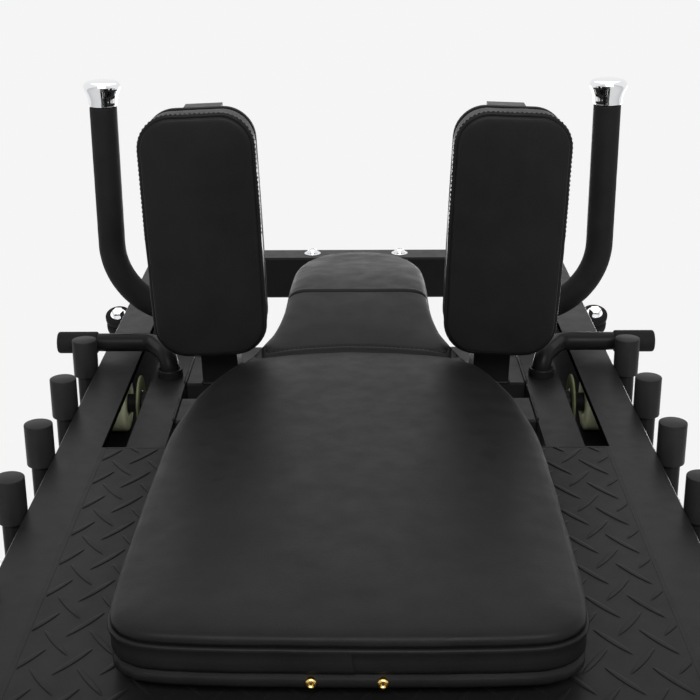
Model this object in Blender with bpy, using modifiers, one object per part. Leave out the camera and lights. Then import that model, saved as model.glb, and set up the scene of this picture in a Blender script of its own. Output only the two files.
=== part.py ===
"""Leg press hack squat machine: a sled on sloping rails, with a base, a seat and two foot boards.

Units are metres and +Z is up. +Y points towards the high end of the rails. The pieces on the rails are
placed in a slope frame: x across, s along the rails from their low end, and n square to the rails' top.
"""
import bpy
import bmesh
from math import atan2, ceil, cos, hypot, pi, radians, sin, tan
from mathutils import Vector

# Fits
GAP = 0.0003
RUN = 0.0003

# Slope of the rails
SLOPE = radians(45)
RAIL_LOW_Y = -0.300
RAIL_LOW_Z = 0.500

# Rails
RAIL_GAP = 0.500
RAIL_WIDTH = 0.044
RAIL_WALL = 0.0055
RAIL_LENGTH = 1.790
CROSSBAR_MARGIN = 0.012
CROSSBAR_DEPTH = 0.045
CROSSBAR_HEIGHT = 0.060

# Side hubs
HUB_INSET = 0.0307
HUB_X = 0.3487
HUB_N = -0.119
HUB_RADIUS = 0.0185
HUB_DEPTH = 0.034
HUB_PLATE = 0.008
HUB_TILT = radians(-155)

# Stop pegs
PEG_TOP_S = 1.299
PEG_PITCH = 0.122
PEG_COUNT = 6
PEG_RADIUS = 0.0140
PEG_STEM_RADIUS = 0.0100
PEG_RISE = 0.031
PEG_SLEEVE_DROP = 0.012
PEG_CHAMFER = 0.0035
PEG_SIDE_CLEARANCE = 0.0008
STOP_BAR_HEIGHT = 0.022
STOP_BAR_END = 0.020

# Sled side frames
SLED_START = 0.600
SLED_END = 1.470
SLED_TUBE_OUTER = 0.229
SLED_TUBE_WIDTH = 0.039
SLED_TUBE_BOTTOM = -0.060
DECK_THICKNESS = 0.005
DECK_END = 1.068
DECK_SIDE_CLEARANCE = 0.0015
GUSSET_THICKNESS = 0.008
BUMPER_DEPTH = 0.020
BUMPER_RADIUS = 0.015

# Rollers
ROLLER_RADIUS = 0.0325
ROLLER_SIDE_CLEARANCE = 0.0030
ROLLER_INSET = -0.0070
ROLLER_LOW_S = 0.700
ROLLER_HIGH_S = 1.278
STUD_RADIUS = 0.006
HUB_SLEEVE_RADIUS = 0.013

# Sled cross members
FRONT_TUBE_DEPTH = 0.050
MID_PLATE_START = 1.146
MID_PLATE_DEPTH = 0.064
MID_PLATE_HEIGHT = 0.040
CROSS_TUBE_START = 1.2525
CROSS_TUBE_DEPTH = 0.0875
REAR_TUBE_DEPTH = 0.049
REAR_TUBE_TOP = -0.040

# Weight bar
WEIGHT_BAR_S = 1.200
WEIGHT_BAR_N = -0.225
WEIGHT_BAR_RADIUS = 0.019
WEIGHT_SLEEVE_RADIUS = 0.025
WEIGHT_SLEEVE_START = 0.335
WEIGHT_SLEEVE_END = 0.600
WEIGHT_COLLAR_RADIUS = 0.045
WEIGHT_COLLAR_WIDTH = 0.010

# Press plate
PRESS_PLATE_THICKNESS = 0.006
PRESS_PLATE_HALF = 0.2255
PRESS_PLATE_BOTTOM = -0.430

# Lock arms
LOCK_X = 0.2095
LOCK_S = 1.278
LOCK_TUBE_RADIUS = 0.0105
LOCK_SLEEVE_RADIUS = 0.0125
LOCK_HEIGHT = 0.018
LOCK_SLEEVE_START = 0.298
LOCK_ARM_END = 0.343
LOCK_ELBOW_X = 0.0265
LOCK_STEM_BOTTOM = -0.064
LOCK_BOSS_RADIUS = 0.0145
LOCK_BOSS_HEIGHT = 0.006

# Pad frame and back pad
PAD_BAR_HEIGHT = 0.0074
PAD_BAR_WIDTH = 0.040
PAD_BAR_X = 0.058
PAD_BAR_START = 0.660
PAD_BAR_END = 1.500
PAD_START = 0.634
PAD_END = 1.600
PAD_BAND = 0.0113
PAD_THICKNESS = 0.0330
PAD_CROWN = 0.014
PAD_CREASE_S = 1.215

# Shoulder pads
SHOULDER_LEAN = radians(2.25)
SHOULDER_X = 0.1497
SHOULDER_PAD_BOTTOM = 0.0495
SHOULDER_PAD_HEIGHT = 0.256
SHOULDER_PAD_HALF = 0.0585
SHOULDER_PAD_THICKNESS = 0.051
SHOULDER_PAD_CORNER = 0.034
SHOULDER_CROWN = 0.006
SHOULDER_PLATE = 0.005
POST_WIDTH = 0.040
POST_DEPTH = 0.050
POST_TOP = 0.299

# Handles
HANDLE_S = 1.440
HANDLE_X = 0.2955
HANDLE_BEND = 0.0860
HANDLE_LOW = 0.0187
HANDLE_TUBE_RADIUS = 0.0125
HANDLE_GRIP_RADIUS = 0.016
HANDLE_TOP = 0.272
HANDLE_CAP_HEIGHT = 0.029
HANDLE_CAP_RADIUS = 0.0220

# Base frame
BASE_FRONT = -1.060
BASE_REAR_MARGIN = 0.130
BASE_TUBE = 0.060
FOOT_HEIGHT = 0.020
FOOT_RADIUS = 0.030
FRONT_FOOT_HALF = 0.360
REAR_FOOT_HALF = 0.420
FRONT_POST_Y = -0.170
FRONT_POST_DEPTH = 0.050
REAR_POST_INSET = 0.0899
REAR_POST_DEPTH = 0.050
REAR_TIE_Z = 0.500

# Seat
SEAT_Y = -0.360
SEAT_Z = 0.205
SEAT_TILT = radians(20)
SEAT_HALF = 0.160
SEAT_LENGTH = 0.300
SEAT_THICKNESS = 0.045
SEAT_CROWN = 0.010
CUSHION_CORNER = 0.040

# Back rest
PIVOT_CLEARANCE = 0.067
PIVOT_Z = 0.190
REST_ANGLE = radians(135)
REST_BAR_X = 0.0275
REST_BAR_WIDTH = 0.012
REST_BAR_DEPTH = 0.040
REST_BAR_LENGTH = 0.640
REST_START = 0.150
REST_LENGTH = 0.550
REST_HALF = 0.140
REST_THICKNESS = 0.050
REST_CROWN = 0.012
BRACKET_HALF = 0.018
SECTOR_RADIUS = 0.140
SLOT_RADIUS = 0.118
KNOB_STUD_RADIUS = 0.005
REST_TRAVEL = radians(20)

# Foot boards
BOARD_X = 0.262
BOARD_WIDTH = 0.186
BOARD_LENGTH = 0.430
BOARD_THICKNESS = 0.006
BOARD_TILT = radians(-32)
BOARD_Y = -0.602
BOARD_Z = 0.414
BOARD_RIB = 0.040
BOARD_POST_Y = -0.630
BOARD_POST_DEPTH = 0.050

# Looks: base colour, roughness, metallic
BLACK_PAINT = ((0.030, 0.031, 0.033), 0.42, 0.0)
LEATHER = ((0.022, 0.022, 0.024), 0.50, 0.0)
RUBBER = ((0.015, 0.015, 0.015), 0.80, 0.0)
CHROME = ((0.80, 0.80, 0.82), 0.08, 1.0)
FOAM = ((0.020, 0.020, 0.021), 0.75, 0.0)
CREAM = ((0.62, 0.63, 0.42), 0.45, 0.0)

# Sizes that follow from the ones above
RAIL_INNER = RAIL_GAP / 2
RAIL_OUTER = RAIL_INNER + RAIL_WIDTH
RAIL_CENTRE = RAIL_INNER + RAIL_WIDTH / 2
CROSSBAR_START = RAIL_LENGTH - CROSSBAR_MARGIN - CROSSBAR_DEPTH
PEG_X = RAIL_OUTER + PEG_SIDE_CLEARANCE + PEG_RADIUS
SLED_TUBE_INNER = SLED_TUBE_OUTER - SLED_TUBE_WIDTH
SLED_TUBE_TOP = -DECK_THICKNESS - GAP
CROSS_HALF = SLED_TUBE_INNER - GAP
ROLLER_N = -RAIL_WALL - RUN - ROLLER_RADIUS
ROLLER_INNER = RAIL_INNER + ROLLER_INSET
ROLLER_OUTER = RAIL_OUTER - RAIL_WALL - ROLLER_SIDE_CLEARANCE
RAIL_HEIGHT = 2 * (ROLLER_RADIUS + RUN + RAIL_WALL)
REAR_POST_Y = RAIL_LOW_Y + (RAIL_LENGTH + RAIL_HEIGHT) * cos(SLOPE) - REAR_POST_INSET
BASE_REAR = REAR_POST_Y + BASE_REAR_MARGIN
LOCK_ARM_S = PEG_TOP_S + PEG_RADIUS + LOCK_SLEEVE_RADIUS + GAP
PAD_BOTTOM = GAP + PAD_BAR_HEIGHT + GAP
POST_START = CROSS_TUBE_START + GAP
SHOULDER_PAD_BACK = POST_START - SHOULDER_PLATE - GAP
BASE_TOP = FOOT_HEIGHT + BASE_TUBE
SEAT_REAR_Y = SEAT_Y - SEAT_LENGTH / 2 * cos(SEAT_TILT)
PIVOT_Y = SEAT_REAR_Y - PIVOT_CLEARANCE
SIDES = (("left", -1), ("right", 1))

for old in list(bpy.data.objects):
    bpy.data.objects.remove(old, do_unlink=True)

parts = bpy.data.collections.new("leg_press_hack_squat_machine")
cutters = bpy.data.collections.new("cutters")
for collection in (parts, cutters):
    bpy.context.scene.collection.children.link(collection)

slope = bpy.data.objects.new("slope_frame", None)
slope.location = (0, RAIL_LOW_Y, RAIL_LOW_Z)
slope.rotation_euler = (SLOPE, 0, 0)
parts.objects.link(slope)


def make_material(name, look):
    """One Principled material for one piece."""
    colour, roughness, metallic = look
    material = bpy.data.materials.new(name)
    material.use_nodes = True
    shader = material.node_tree.nodes["Principled BSDF"]
    shader.inputs["Base Color"].default_value = (*colour, 1)
    shader.inputs["Roughness"].default_value = roughness
    shader.inputs["Metallic"].default_value = metallic
    return material


def add_object(name, mesh, look, parent, location, rotation=(0, 0, 0)):
    """Links a mesh as a named part."""
    obj = bpy.data.objects.new(name, mesh)
    parts.objects.link(obj)
    obj.parent = parent
    obj.location = location
    obj.rotation_euler = rotation
    mesh.materials.append(make_material(name, look))
    return obj


def mesh_from(builder, name):
    """Makes a mesh from a function that fills a bmesh."""
    shape = bmesh.new()
    builder(shape)
    bmesh.ops.recalc_face_normals(shape, faces=shape.faces)
    mesh = bpy.data.meshes.new(name)
    shape.to_mesh(mesh)
    shape.free()
    return mesh


def round_edges(obj, width, segments=1):
    """Rounds the sharp edges of a piece."""
    bevel = obj.modifiers.new("rounded_edges", "BEVEL")
    bevel.width = width
    bevel.segments = segments
    bevel.limit_method = "ANGLE"
    bevel.angle_limit = radians(40)
    return obj


def box(name, low, high, look, parent=None, edge=0.0015, rotation=(0, 0, 0), origin=None):
    """A box between two corners, turned about origin, or about its own centre."""
    low, high = Vector(low), Vector(high)
    pivot = Vector(origin) if origin is not None else (low + high) / 2

    def build(shape):
        bmesh.ops.create_cube(shape, size=1)
        bmesh.ops.scale(shape, vec=high - low, verts=shape.verts)
        bmesh.ops.translate(shape, vec=(low + high) / 2 - pivot, verts=shape.verts)

    obj = add_object(name, mesh_from(build, name), look, parent, pivot, rotation)
    return round_edges(obj, edge) if edge else obj


def cylinder(name, centre, radius, length, axis, look, parent=None, sides=20):
    """A plain round bar along axis x, y or z."""
    turns = {"x": (0, pi / 2, 0), "y": (-pi / 2, 0, 0), "z": (0, 0, 0)}

    def build(shape):
        bmesh.ops.create_cone(shape, cap_ends=True, segments=sides, radius1=radius,
                              radius2=radius, depth=length)

    obj = add_object(name, mesh_from(build, name), look, parent, centre, turns[axis])
    obj.data.shade_smooth()
    obj.data.set_sharp_from_angle(angle=radians(40))
    return obj


def turned(name, profile, look, parent, centre, rotation=(0, 0, 0), sides=20, closed=False):
    """A turned piece: a profile of (radius, height) points, top to bottom, about local Z."""
    mesh = bpy.data.meshes.new(name)
    edges = [(i, i + 1) for i in range(len(profile) - 1)]
    if closed:
        edges.append((len(profile) - 1, 0))
    mesh.from_pydata([(radius, 0, height) for radius, height in profile], edges, [])
    obj = add_object(name, mesh, look, parent, centre, rotation)
    screw = obj.modifiers.new("turned", "SCREW")
    screw.steps = sides
    screw.render_steps = sides
    screw.use_merge_vertices = True
    screw.merge_threshold = 0.00005
    screw.use_smooth_shade = False
    return obj


def mesh_of_curve(curve_object):
    """Turns a curve object into a welded mesh object of the same name."""
    bpy.context.view_layer.update()
    graph = bpy.context.evaluated_depsgraph_get()
    mesh = bpy.data.meshes.new_from_object(curve_object.evaluated_get(graph))
    shape = bmesh.new()
    shape.from_mesh(mesh)
    bmesh.ops.remove_doubles(shape, verts=shape.verts, dist=0.00002)
    bmesh.ops.recalc_face_normals(shape, faces=shape.faces)
    shape.to_mesh(mesh)
    shape.free()
    name = curve_object.name
    parent = curve_object.parent
    location = curve_object.location.copy()
    rotation = curve_object.rotation_euler.copy()
    bpy.data.objects.remove(curve_object, do_unlink=True)
    obj = bpy.data.objects.new(name, mesh)
    parts.objects.link(obj)
    obj.parent = parent
    obj.location = location
    obj.rotation_euler = rotation
    return obj


def curve_object(name, look, parent, location, rotation, dimensions):
    """An empty curve object with its material."""
    curve = bpy.data.curves.new(name, "CURVE")
    curve.dimensions = dimensions
    return add_object(name, curve, look, parent, location, rotation)


def side_plate(name, outline, x_low, x_high, look, parent=None, edge=0.0):
    """A flat outline in the (s, n) or (y, z) plane, thick along x from x_low to x_high."""
    obj = curve_object(name, look, parent, ((x_low + x_high) / 2, 0, 0), (pi / 2, 0, pi / 2), "2D")
    obj.data.fill_mode = "BOTH"
    obj.data.extrude = abs(x_high - x_low) / 2
    spline = obj.data.splines.new("POLY")
    spline.points.add(len(outline) - 1)
    for point, place in zip(spline.points, outline):
        point.co = (place[0], place[1], 0, 1)
    spline.use_cyclic_u = True
    obj = mesh_of_curve(obj)
    return round_edges(obj, edge) if edge else obj


def rounded_path(points, radius, step=radians(18)):
    """A path with its inner corners rounded by arcs."""
    points = [Vector(point) for point in points]
    path = [points[0]]
    for before, corner, after in zip(points, points[1:], points[2:]):
        back = (before - corner).normalized()
        ahead = (after - corner).normalized()
        turn = pi - back.angle(ahead)
        reach = radius * tan(turn / 2)
        centre = corner + (back + ahead).normalized() * (radius / cos(turn / 2))
        start = corner + back * reach - centre
        end = corner + ahead * reach - centre
        count = max(2, ceil(turn / step))
        for i in range(count + 1):
            share = i / count
            blend = (start * sin((1 - share) * turn) + end * sin(share * turn)) / sin(turn)
            path.append(centre + blend)
    path.append(points[-1])
    return path


def tube(name, path, radius, look, parent=None, location=(0, 0, 0), resolution=2):
    """A round bar along a path, with closed ends."""
    obj = curve_object(name, look, parent, location, (0, 0, 0), "3D")
    obj.data.bevel_depth = radius
    obj.data.bevel_resolution = resolution
    obj.data.use_fill_caps = True
    spline = obj.data.splines.new("POLY")
    spline.points.add(len(path) - 1)
    for point, place in zip(spline.points, path):
        point.co = (*place, 1)
    return mesh_of_curve(obj)


def use_tool(obj, tool, operation):
    """Cuts or joins a piece with another one, which then only guides the shape."""
    parts.objects.unlink(tool)
    cutters.objects.link(tool)
    tool.hide_render = True
    tool.display_type = "WIRE"
    modifier = obj.modifiers.new(tool.name, "BOOLEAN")
    modifier.operation = operation
    modifier.object = tool
    return obj


def cut(obj, tool):
    """Takes the tool's shape away from a piece."""
    return use_tool(obj, tool, "DIFFERENCE")


def weld(obj, tool):
    """Joins the tool's shape to a piece."""
    return use_tool(obj, tool, "UNION")


def smooth_through(points, count):
    """Values of a smooth curve through (place, value, ...) points, at even places."""
    first, last = points[0][0], points[-1][0]
    result = []
    for i in range(count):
        place = first + (last - first) * i / (count - 1)
        k = max(j for j in range(len(points) - 1) if points[j][0] <= place + 1e-9)
        a, b = points[k], points[k + 1]
        share = (place - a[0]) / (b[0] - a[0])
        width = b[0] - a[0]
        values = [place]
        for m in range(1, len(a)):
            before = points[max(k - 1, 0)]
            after = points[min(k + 2, len(points) - 1)]
            slope_a = (b[m] - before[m]) / max(b[0] - before[0], 1e-9)
            slope_b = (after[m] - a[m]) / max(after[0] - a[0], 1e-9)
            h00 = 2 * share ** 3 - 3 * share ** 2 + 1
            h10 = share ** 3 - 2 * share ** 2 + share
            h01 = 3 * share ** 2 - 2 * share ** 3
            h11 = share ** 3 - share ** 2
            values.append(h00 * a[m] + h10 * width * slope_a + h01 * b[m] + h11 * width * slope_b)
        result.append(values)
    return result


def rounded_plan(length, half_width, corner, arc_steps=4, straight_steps=7):
    """(place, half width) pairs of a rectangle with round corners, from end to end."""
    arc = [(corner * (1 - cos(pi / 2 * i / arc_steps)), half_width - corner * (1 - sin(pi / 2 * i / arc_steps)))
           for i in range(arc_steps + 1)]
    inner = [(corner + (length - 2 * corner) * i / straight_steps, half_width)
             for i in range(1, straight_steps)]
    return arc + inner + [(length - place, half) for place, half in reversed(arc)]


def cushion_mesh(name, stations, band, thickness):
    """A crowned cushion: stations are (place, half width, crown), with sides drawn in at the seams."""
    sides = ((0.006, 0.0), (0.0010, 0.0015), (0.0010, band - 0.0012), (0.0035, band),
             (0.0004, band + 0.30 * (thickness - band)), (0.0004, band + 0.72 * (thickness - band)),
             (0.0026, thickness), (0.0100, thickness + 0.0040))
    top = ((0.84, 0.42), (0.62, 0.80), (0.34, 0.96))
    rows = []
    for place, half, crown in stations:
        crown = max(crown, 0.0042)
        right = [(half - inset, height) for inset, height in sides]
        right += [(half * share, thickness + 0.0040 + (crown - 0.0040) * rise) for share, rise in top]
        left = [(-across, height) for across, height in reversed(right)]
        rows.append([(across, place, height) for across, height in right + [(0, thickness + crown)] + left])

    def build(shape):
        loops = [[shape.verts.new(point) for point in row] for row in rows]
        size = len(loops[0])
        for near, far in zip(loops, loops[1:]):
            for j in range(size):
                k = (j + 1) % size
                shape.faces.new((near[j], near[k], far[k], far[j]))
        shape.faces.new(loops[0])
        shape.faces.new(list(reversed(loops[-1])))

    mesh = mesh_from(build, name)
    mesh.shade_smooth()
    mesh.set_sharp_from_angle(angle=radians(50))
    return mesh


def crowned(plan, length, crown):
    """Adds the crown's height to a plan: it falls away towards both ends."""
    return [(place, half, crown * (1 - abs(2 * place / length - 1) ** 4)) for place, half in plan]


def plain_cushion(name, length, half, corner, band, thickness, crown, parent, centre, rotation):
    """A cushion of rounded rectangular plan, with the middle of its base as origin."""
    stations = [(place - length / 2, width, rise)
                for place, width, rise in crowned(rounded_plan(length, half, corner), length, crown)]
    mesh = cushion_mesh(name, stations, band, thickness)
    return add_object(name, mesh, LEATHER, parent, centre, rotation)


def rail_underside(y):
    """Height of the rails' underside above the floor at a place y."""
    return RAIL_LOW_Z + tan(SLOPE) * (y - RAIL_LOW_Y) - RAIL_HEIGHT / cos(SLOPE)


def base_frame():
    """Floor tubes, cross feet, spine, ties and rubber feet."""
    front_inner = BASE_FRONT + BASE_TUBE
    rear_inner = BASE_REAR - BASE_TUBE
    low, high = FOOT_HEIGHT, BASE_TOP
    half = BASE_TUBE / 2
    box("front_cross_foot", (-FRONT_FOOT_HALF, BASE_FRONT, low), (FRONT_FOOT_HALF, front_inner, high),
        BLACK_PAINT, edge=0.003)
    box("rear_cross_foot", (-REAR_FOOT_HALF, rear_inner, low), (REAR_FOOT_HALF, BASE_REAR, high),
        BLACK_PAINT, edge=0.003)
    for side, sign in SIDES:
        centre = sign * RAIL_CENTRE
        box(f"{side}_base_tube", (centre - half, front_inner + GAP, low),
            (centre + half, rear_inner - GAP, high), BLACK_PAINT, edge=0.003)
    box("seat_spine", (-half, front_inner + GAP, low), (half, FRONT_POST_Y - GAP, high), BLACK_PAINT, edge=0.003)
    tie_half = RAIL_CENTRE - half - GAP
    box("front_tie_tube", (-tie_half, FRONT_POST_Y, low), (tie_half, FRONT_POST_Y + FRONT_POST_DEPTH, high),
        BLACK_PAINT, edge=0.003)
    upright_inner = RAIL_INNER - GAP
    box("rear_tie_tube", (-upright_inner, REAR_POST_Y, REAR_TIE_Z),
        (upright_inner, REAR_POST_Y + REAR_POST_DEPTH, REAR_TIE_Z + FRONT_POST_DEPTH), BLACK_PAINT, edge=0.003)
    feet = (("front", FRONT_FOOT_HALF, (BASE_FRONT + front_inner) / 2),
            ("rear", REAR_FOOT_HALF, (BASE_REAR + rear_inner) / 2))
    for side, sign in SIDES:
        for end, reach, y in feet:
            top = FOOT_HEIGHT - GAP
            profile = [(0, top), (FOOT_RADIUS * 0.80, top), (FOOT_RADIUS, top * 0.7), (FOOT_RADIUS, 0), (0, 0)]
            turned(f"{side}_{end}_rubber_foot", profile, RUBBER, None,
                   (sign * (reach - FOOT_RADIUS - 0.005), y, 0))


def posts_under_rails():
    """The front posts and rear uprights, cut off along the rails' underside."""
    for side, sign in SIDES:
        x_low, x_high = sorted((sign * RAIL_INNER, sign * RAIL_OUTER))
        for name, y, depth in (("front_post", FRONT_POST_Y, FRONT_POST_DEPTH),
                               ("rear_upright", REAR_POST_Y, REAR_POST_DEPTH)):
            foot = BASE_TOP + GAP
            clearance = GAP / cos(SLOPE)
            outline = [(y, foot), (y + depth, foot), (y + depth, rail_underside(y + depth) - clearance),
                       (y, rail_underside(y) - clearance)]
            side_plate(f"{side}_{name}", outline, x_low, x_high, BLACK_PAINT, edge=0.002)


def rails():
    """Channel rails that the rollers run in, the crossbar and the rubber stops at the top."""
    for side, sign in SIDES:
        x_low, x_high = sorted((sign * RAIL_INNER, sign * RAIL_OUTER))
        rail = box(f"{side}_rail", (x_low, 0, -RAIL_HEIGHT), (x_high, RAIL_LENGTH, 0), BLACK_PAINT, slope, edge=0.0008)
        x_low, x_high = sorted((sign * (RAIL_INNER - 0.01), sign * (RAIL_OUTER - RAIL_WALL)))
        channel = box(f"{side}_rail_channel", (x_low, -0.1, -RAIL_HEIGHT + RAIL_WALL),
                      (x_high, RAIL_LENGTH + 0.1, -RAIL_WALL), BLACK_PAINT, slope, edge=0)
        cut(rail, channel)
        centre = (sign * (SLED_TUBE_INNER + SLED_TUBE_OUTER) / 2, CROSSBAR_START - GAP, SLED_TUBE_BOTTOM / 2)
        depth, radius = BUMPER_DEPTH, BUMPER_RADIUS
        profile = [(0, 0), (radius - 0.002, 0), (radius, -0.004), (radius, -depth + 0.003),
                   (radius - 0.003, -depth), (0, -depth)]
        turned(f"{side}_top_bumper", profile, RUBBER, slope, centre, (-pi / 2, 0, 0), sides=18)
    box("top_crossbar", (-RAIL_INNER + GAP, CROSSBAR_START, -CROSSBAR_HEIGHT),
        (RAIL_INNER - GAP, CROSSBAR_START + CROSSBAR_DEPTH, 0), BLACK_PAINT, slope, edge=0.0025)


def stop_ladders():
    """On each side a bar with the stop pegs standing on it."""
    bar_top = -RAIL_HEIGHT + STOP_BAR_HEIGHT
    first = PEG_TOP_S - PEG_PITCH * (PEG_COUNT - 1)
    for side, sign in SIDES:
        x_low, x_high = sorted((sign * (RAIL_OUTER + GAP), sign * (PEG_X + PEG_RADIUS)))
        ladder = box(f"{side}_stop_ladder",
                     (x_low, first - PEG_RADIUS - STOP_BAR_END, -RAIL_HEIGHT),
                     (x_high, PEG_TOP_S + PEG_RADIUS + STOP_BAR_END, bar_top), BLACK_PAINT, slope, edge=0)
        for i in range(PEG_COUNT):
            profile = [(0, PEG_RISE), (PEG_RADIUS - 0.001, PEG_RISE), (PEG_RADIUS, PEG_RISE - 0.001),
                       (PEG_RADIUS, -PEG_SLEEVE_DROP), (PEG_STEM_RADIUS, -PEG_SLEEVE_DROP - PEG_CHAMFER),
                       (PEG_STEM_RADIUS, bar_top - 0.004), (0, bar_top - 0.004)]
            peg = turned(f"{side}_peg_{i + 1}", profile, BLACK_PAINT, slope,
                         (sign * PEG_X, PEG_TOP_S - i * PEG_PITCH, 0), sides=18)
            weld(ladder, peg)


def side_hubs():
    """Grooved rubber hubs on brackets, outside the rails near the top."""
    base = RAIL_LENGTH - HUB_INSET
    plate = HUB_PLATE
    for side, sign in SIDES:
        depth, radius = HUB_DEPTH, HUB_RADIUS
        profile = [(0, 0.012), (0.010, 0.012), (0.010, -0.001), (radius - 0.003, -0.003), (radius, -0.006),
                   (radius, -0.012), (radius - 0.003, -0.015), (radius - 0.006, -0.018), (radius - 0.003, -0.021),
                   (radius - 0.001, -0.024), (radius - 0.001, -depth + 0.003), (radius - 0.004, -depth), (0, -depth)]
        hub = turned(f"{side}_side_hub", profile, RUBBER, slope, (sign * HUB_X, base, HUB_N),
                     (HUB_TILT, 0, 0), sides=24)
        x_low, x_high = sorted((sign * (RAIL_OUTER + GAP), sign * (RAIL_OUTER + plate)))
        weld(hub, box(f"{side}_hub_cheek", (x_low, base - 0.045, HUB_N - 0.022), (x_high, base + 0.020, HUB_N + 0.079),
                      BLACK_PAINT, slope, edge=0))
        x_low, x_high = sorted((sign * (RAIL_OUTER + plate - 0.002), sign * (HUB_X + 0.008)))
        weld(hub, box(f"{side}_hub_arm", (x_low, base - 0.012, HUB_N - 0.012), (x_high, base + 0.012, HUB_N - 0.004),
                      BLACK_PAINT, slope, edge=0))


def sled_side_frames():
    """Side tube, gussets, roller studs and lock arm boss, welded into one frame on each side."""
    for side, sign in SIDES:
        x_low, x_high = sorted((sign * SLED_TUBE_INNER, sign * SLED_TUBE_OUTER))
        frame = box(f"{side}_side_frame", (x_low, SLED_START + GAP, SLED_TUBE_BOTTOM),
                    (x_high, SLED_END, SLED_TUBE_TOP), BLACK_PAINT, slope, edge=0)
        top = SLED_TUBE_BOTTOM + 0.002
        inner, outer = sorted((sign * SLED_TUBE_INNER, sign * (SLED_TUBE_INNER + GUSSET_THICKNESS)))
        bar_s, bar_n = WEIGHT_BAR_S, WEIGHT_BAR_N
        outlines = {
            "weight_gusset": [(bar_s - 0.140, top), (SLED_END - 0.040, top), (SLED_END - 0.075, top - 0.055),
                              (bar_s + 0.075, bar_n + 0.065), (bar_s + 0.045, bar_n - 0.038),
                              (bar_s - 0.045, bar_n - 0.038), (bar_s - 0.100, bar_n + 0.065)],
            "press_gusset": [(SLED_START + GAP, top), (SLED_START + 0.260, top),
                             (SLED_START + 0.070, PRESS_PLATE_BOTTOM + 0.030),
                             (SLED_START + GAP, PRESS_PLATE_BOTTOM + 0.030)]}
        for name, outline in outlines.items():
            weld(frame, side_plate(f"{side}_{name}", outline, inner + 0.0001, outer, BLACK_PAINT, slope))
        start = SLED_TUBE_OUTER - 0.004
        for end, radius, sides in ((ROLLER_OUTER + 0.001, STUD_RADIUS, 16), (ROLLER_INNER - GAP, HUB_SLEEVE_RADIUS, 20)):
            for place, s in (("low", ROLLER_LOW_S), ("high", ROLLER_HIGH_S)):
                weld(frame, cylinder(f"{side}_{place}_stud_{sides}", (sign * (start + end) / 2, s, ROLLER_N), radius,
                                     end - start, "x", BLACK_PAINT, slope, sides=sides))
        boss_low = SLED_TUBE_TOP - 0.004
        boss = cylinder(f"{side}_lock_boss",
                        (sign * LOCK_X, LOCK_S, (boss_low + SLED_TUBE_TOP + LOCK_BOSS_HEIGHT) / 2),
                        LOCK_BOSS_RADIUS, SLED_TUBE_TOP + LOCK_BOSS_HEIGHT - boss_low, "z", BLACK_PAINT, slope)
        weld(frame, boss)
        cut(frame, cylinder(f"{side}_lock_bore", (sign * LOCK_X, LOCK_S, -0.05), LOCK_TUBE_RADIUS + GAP + 0.0004,
                            0.2, "z", BLACK_PAINT, slope))
        cut(frame, cylinder(f"{side}_weight_bore", (sign * SLED_TUBE_INNER, bar_s, bar_n),
                            WEIGHT_BAR_RADIUS + GAP + 0.0003, 0.06, "x", BLACK_PAINT, slope, sides=24))


def sled_cross_members():
    """Deck, cross tubes, press plate and weight bar."""
    deck_half = RAIL_INNER - DECK_SIDE_CLEARANCE
    box("tread_deck", (-deck_half, SLED_START, -DECK_THICKNESS), (deck_half, DECK_END, 0),
        BLACK_PAINT, slope, edge=0.0015)
    members = (("sled_front_tube", SLED_START + GAP, FRONT_TUBE_DEPTH, SLED_TUBE_BOTTOM, SLED_TUBE_TOP),
               ("sled_mid_plate", MID_PLATE_START, MID_PLATE_DEPTH, SLED_TUBE_TOP - MID_PLATE_HEIGHT, SLED_TUBE_TOP),
               ("sled_cross_tube", CROSS_TUBE_START, CROSS_TUBE_DEPTH, SLED_TUBE_BOTTOM, SLED_TUBE_TOP),
               ("sled_rear_tube", SLED_END - REAR_TUBE_DEPTH, REAR_TUBE_DEPTH, SLED_TUBE_BOTTOM, REAR_TUBE_TOP))
    for name, start, depth, low, high in members:
        box(name, (-CROSS_HALF, start, low), (CROSS_HALF, start + depth, high), BLACK_PAINT, slope, edge=0.002)
    box("press_plate", (-PRESS_PLATE_HALF, SLED_START - PRESS_PLATE_THICKNESS, PRESS_PLATE_BOTTOM),
        (PRESS_PLATE_HALF, SLED_START, SLED_TUBE_TOP), BLACK_PAINT, slope, edge=0.0015)
    start, end = WEIGHT_SLEEVE_START, WEIGHT_SLEEVE_END
    collar = start - WEIGHT_COLLAR_WIDTH
    half = [(WEIGHT_BAR_RADIUS, collar), (WEIGHT_COLLAR_RADIUS, collar), (WEIGHT_COLLAR_RADIUS, start),
            (WEIGHT_SLEEVE_RADIUS, start), (WEIGHT_SLEEVE_RADIUS, end - 0.002), (WEIGHT_SLEEVE_RADIUS - 0.002, end),
            (0, end)]
    profile = list(reversed(half)) + [(radius, -reach) for radius, reach in half]
    turned("weight_bar", profile, CHROME, slope, (0, WEIGHT_BAR_S, WEIGHT_BAR_N), (0, pi / 2, 0), sides=24)


def rollers():
    """Crowned rollers that run inside the rails."""
    for side, sign in SIDES:
        half = (ROLLER_OUTER - ROLLER_INNER) / 2
        bore = STUD_RADIUS + RUN + 0.0002
        profile = [(bore, half), (ROLLER_RADIUS - 0.003, half), (ROLLER_RADIUS - 0.0005, half - 0.003),
                   (ROLLER_RADIUS, 0), (ROLLER_RADIUS - 0.0005, -half + 0.003), (ROLLER_RADIUS - 0.003, -half),
                   (bore, -half)]
        for place, s in (("low", ROLLER_LOW_S), ("high", ROLLER_HIGH_S)):
            centre = (sign * (ROLLER_INNER + ROLLER_OUTER) / 2, s, ROLLER_N)
            turned(f"{side}_{place}_roller", profile, CREAM, slope, centre, (0, pi / 2, 0), 32, closed=True)


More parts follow.
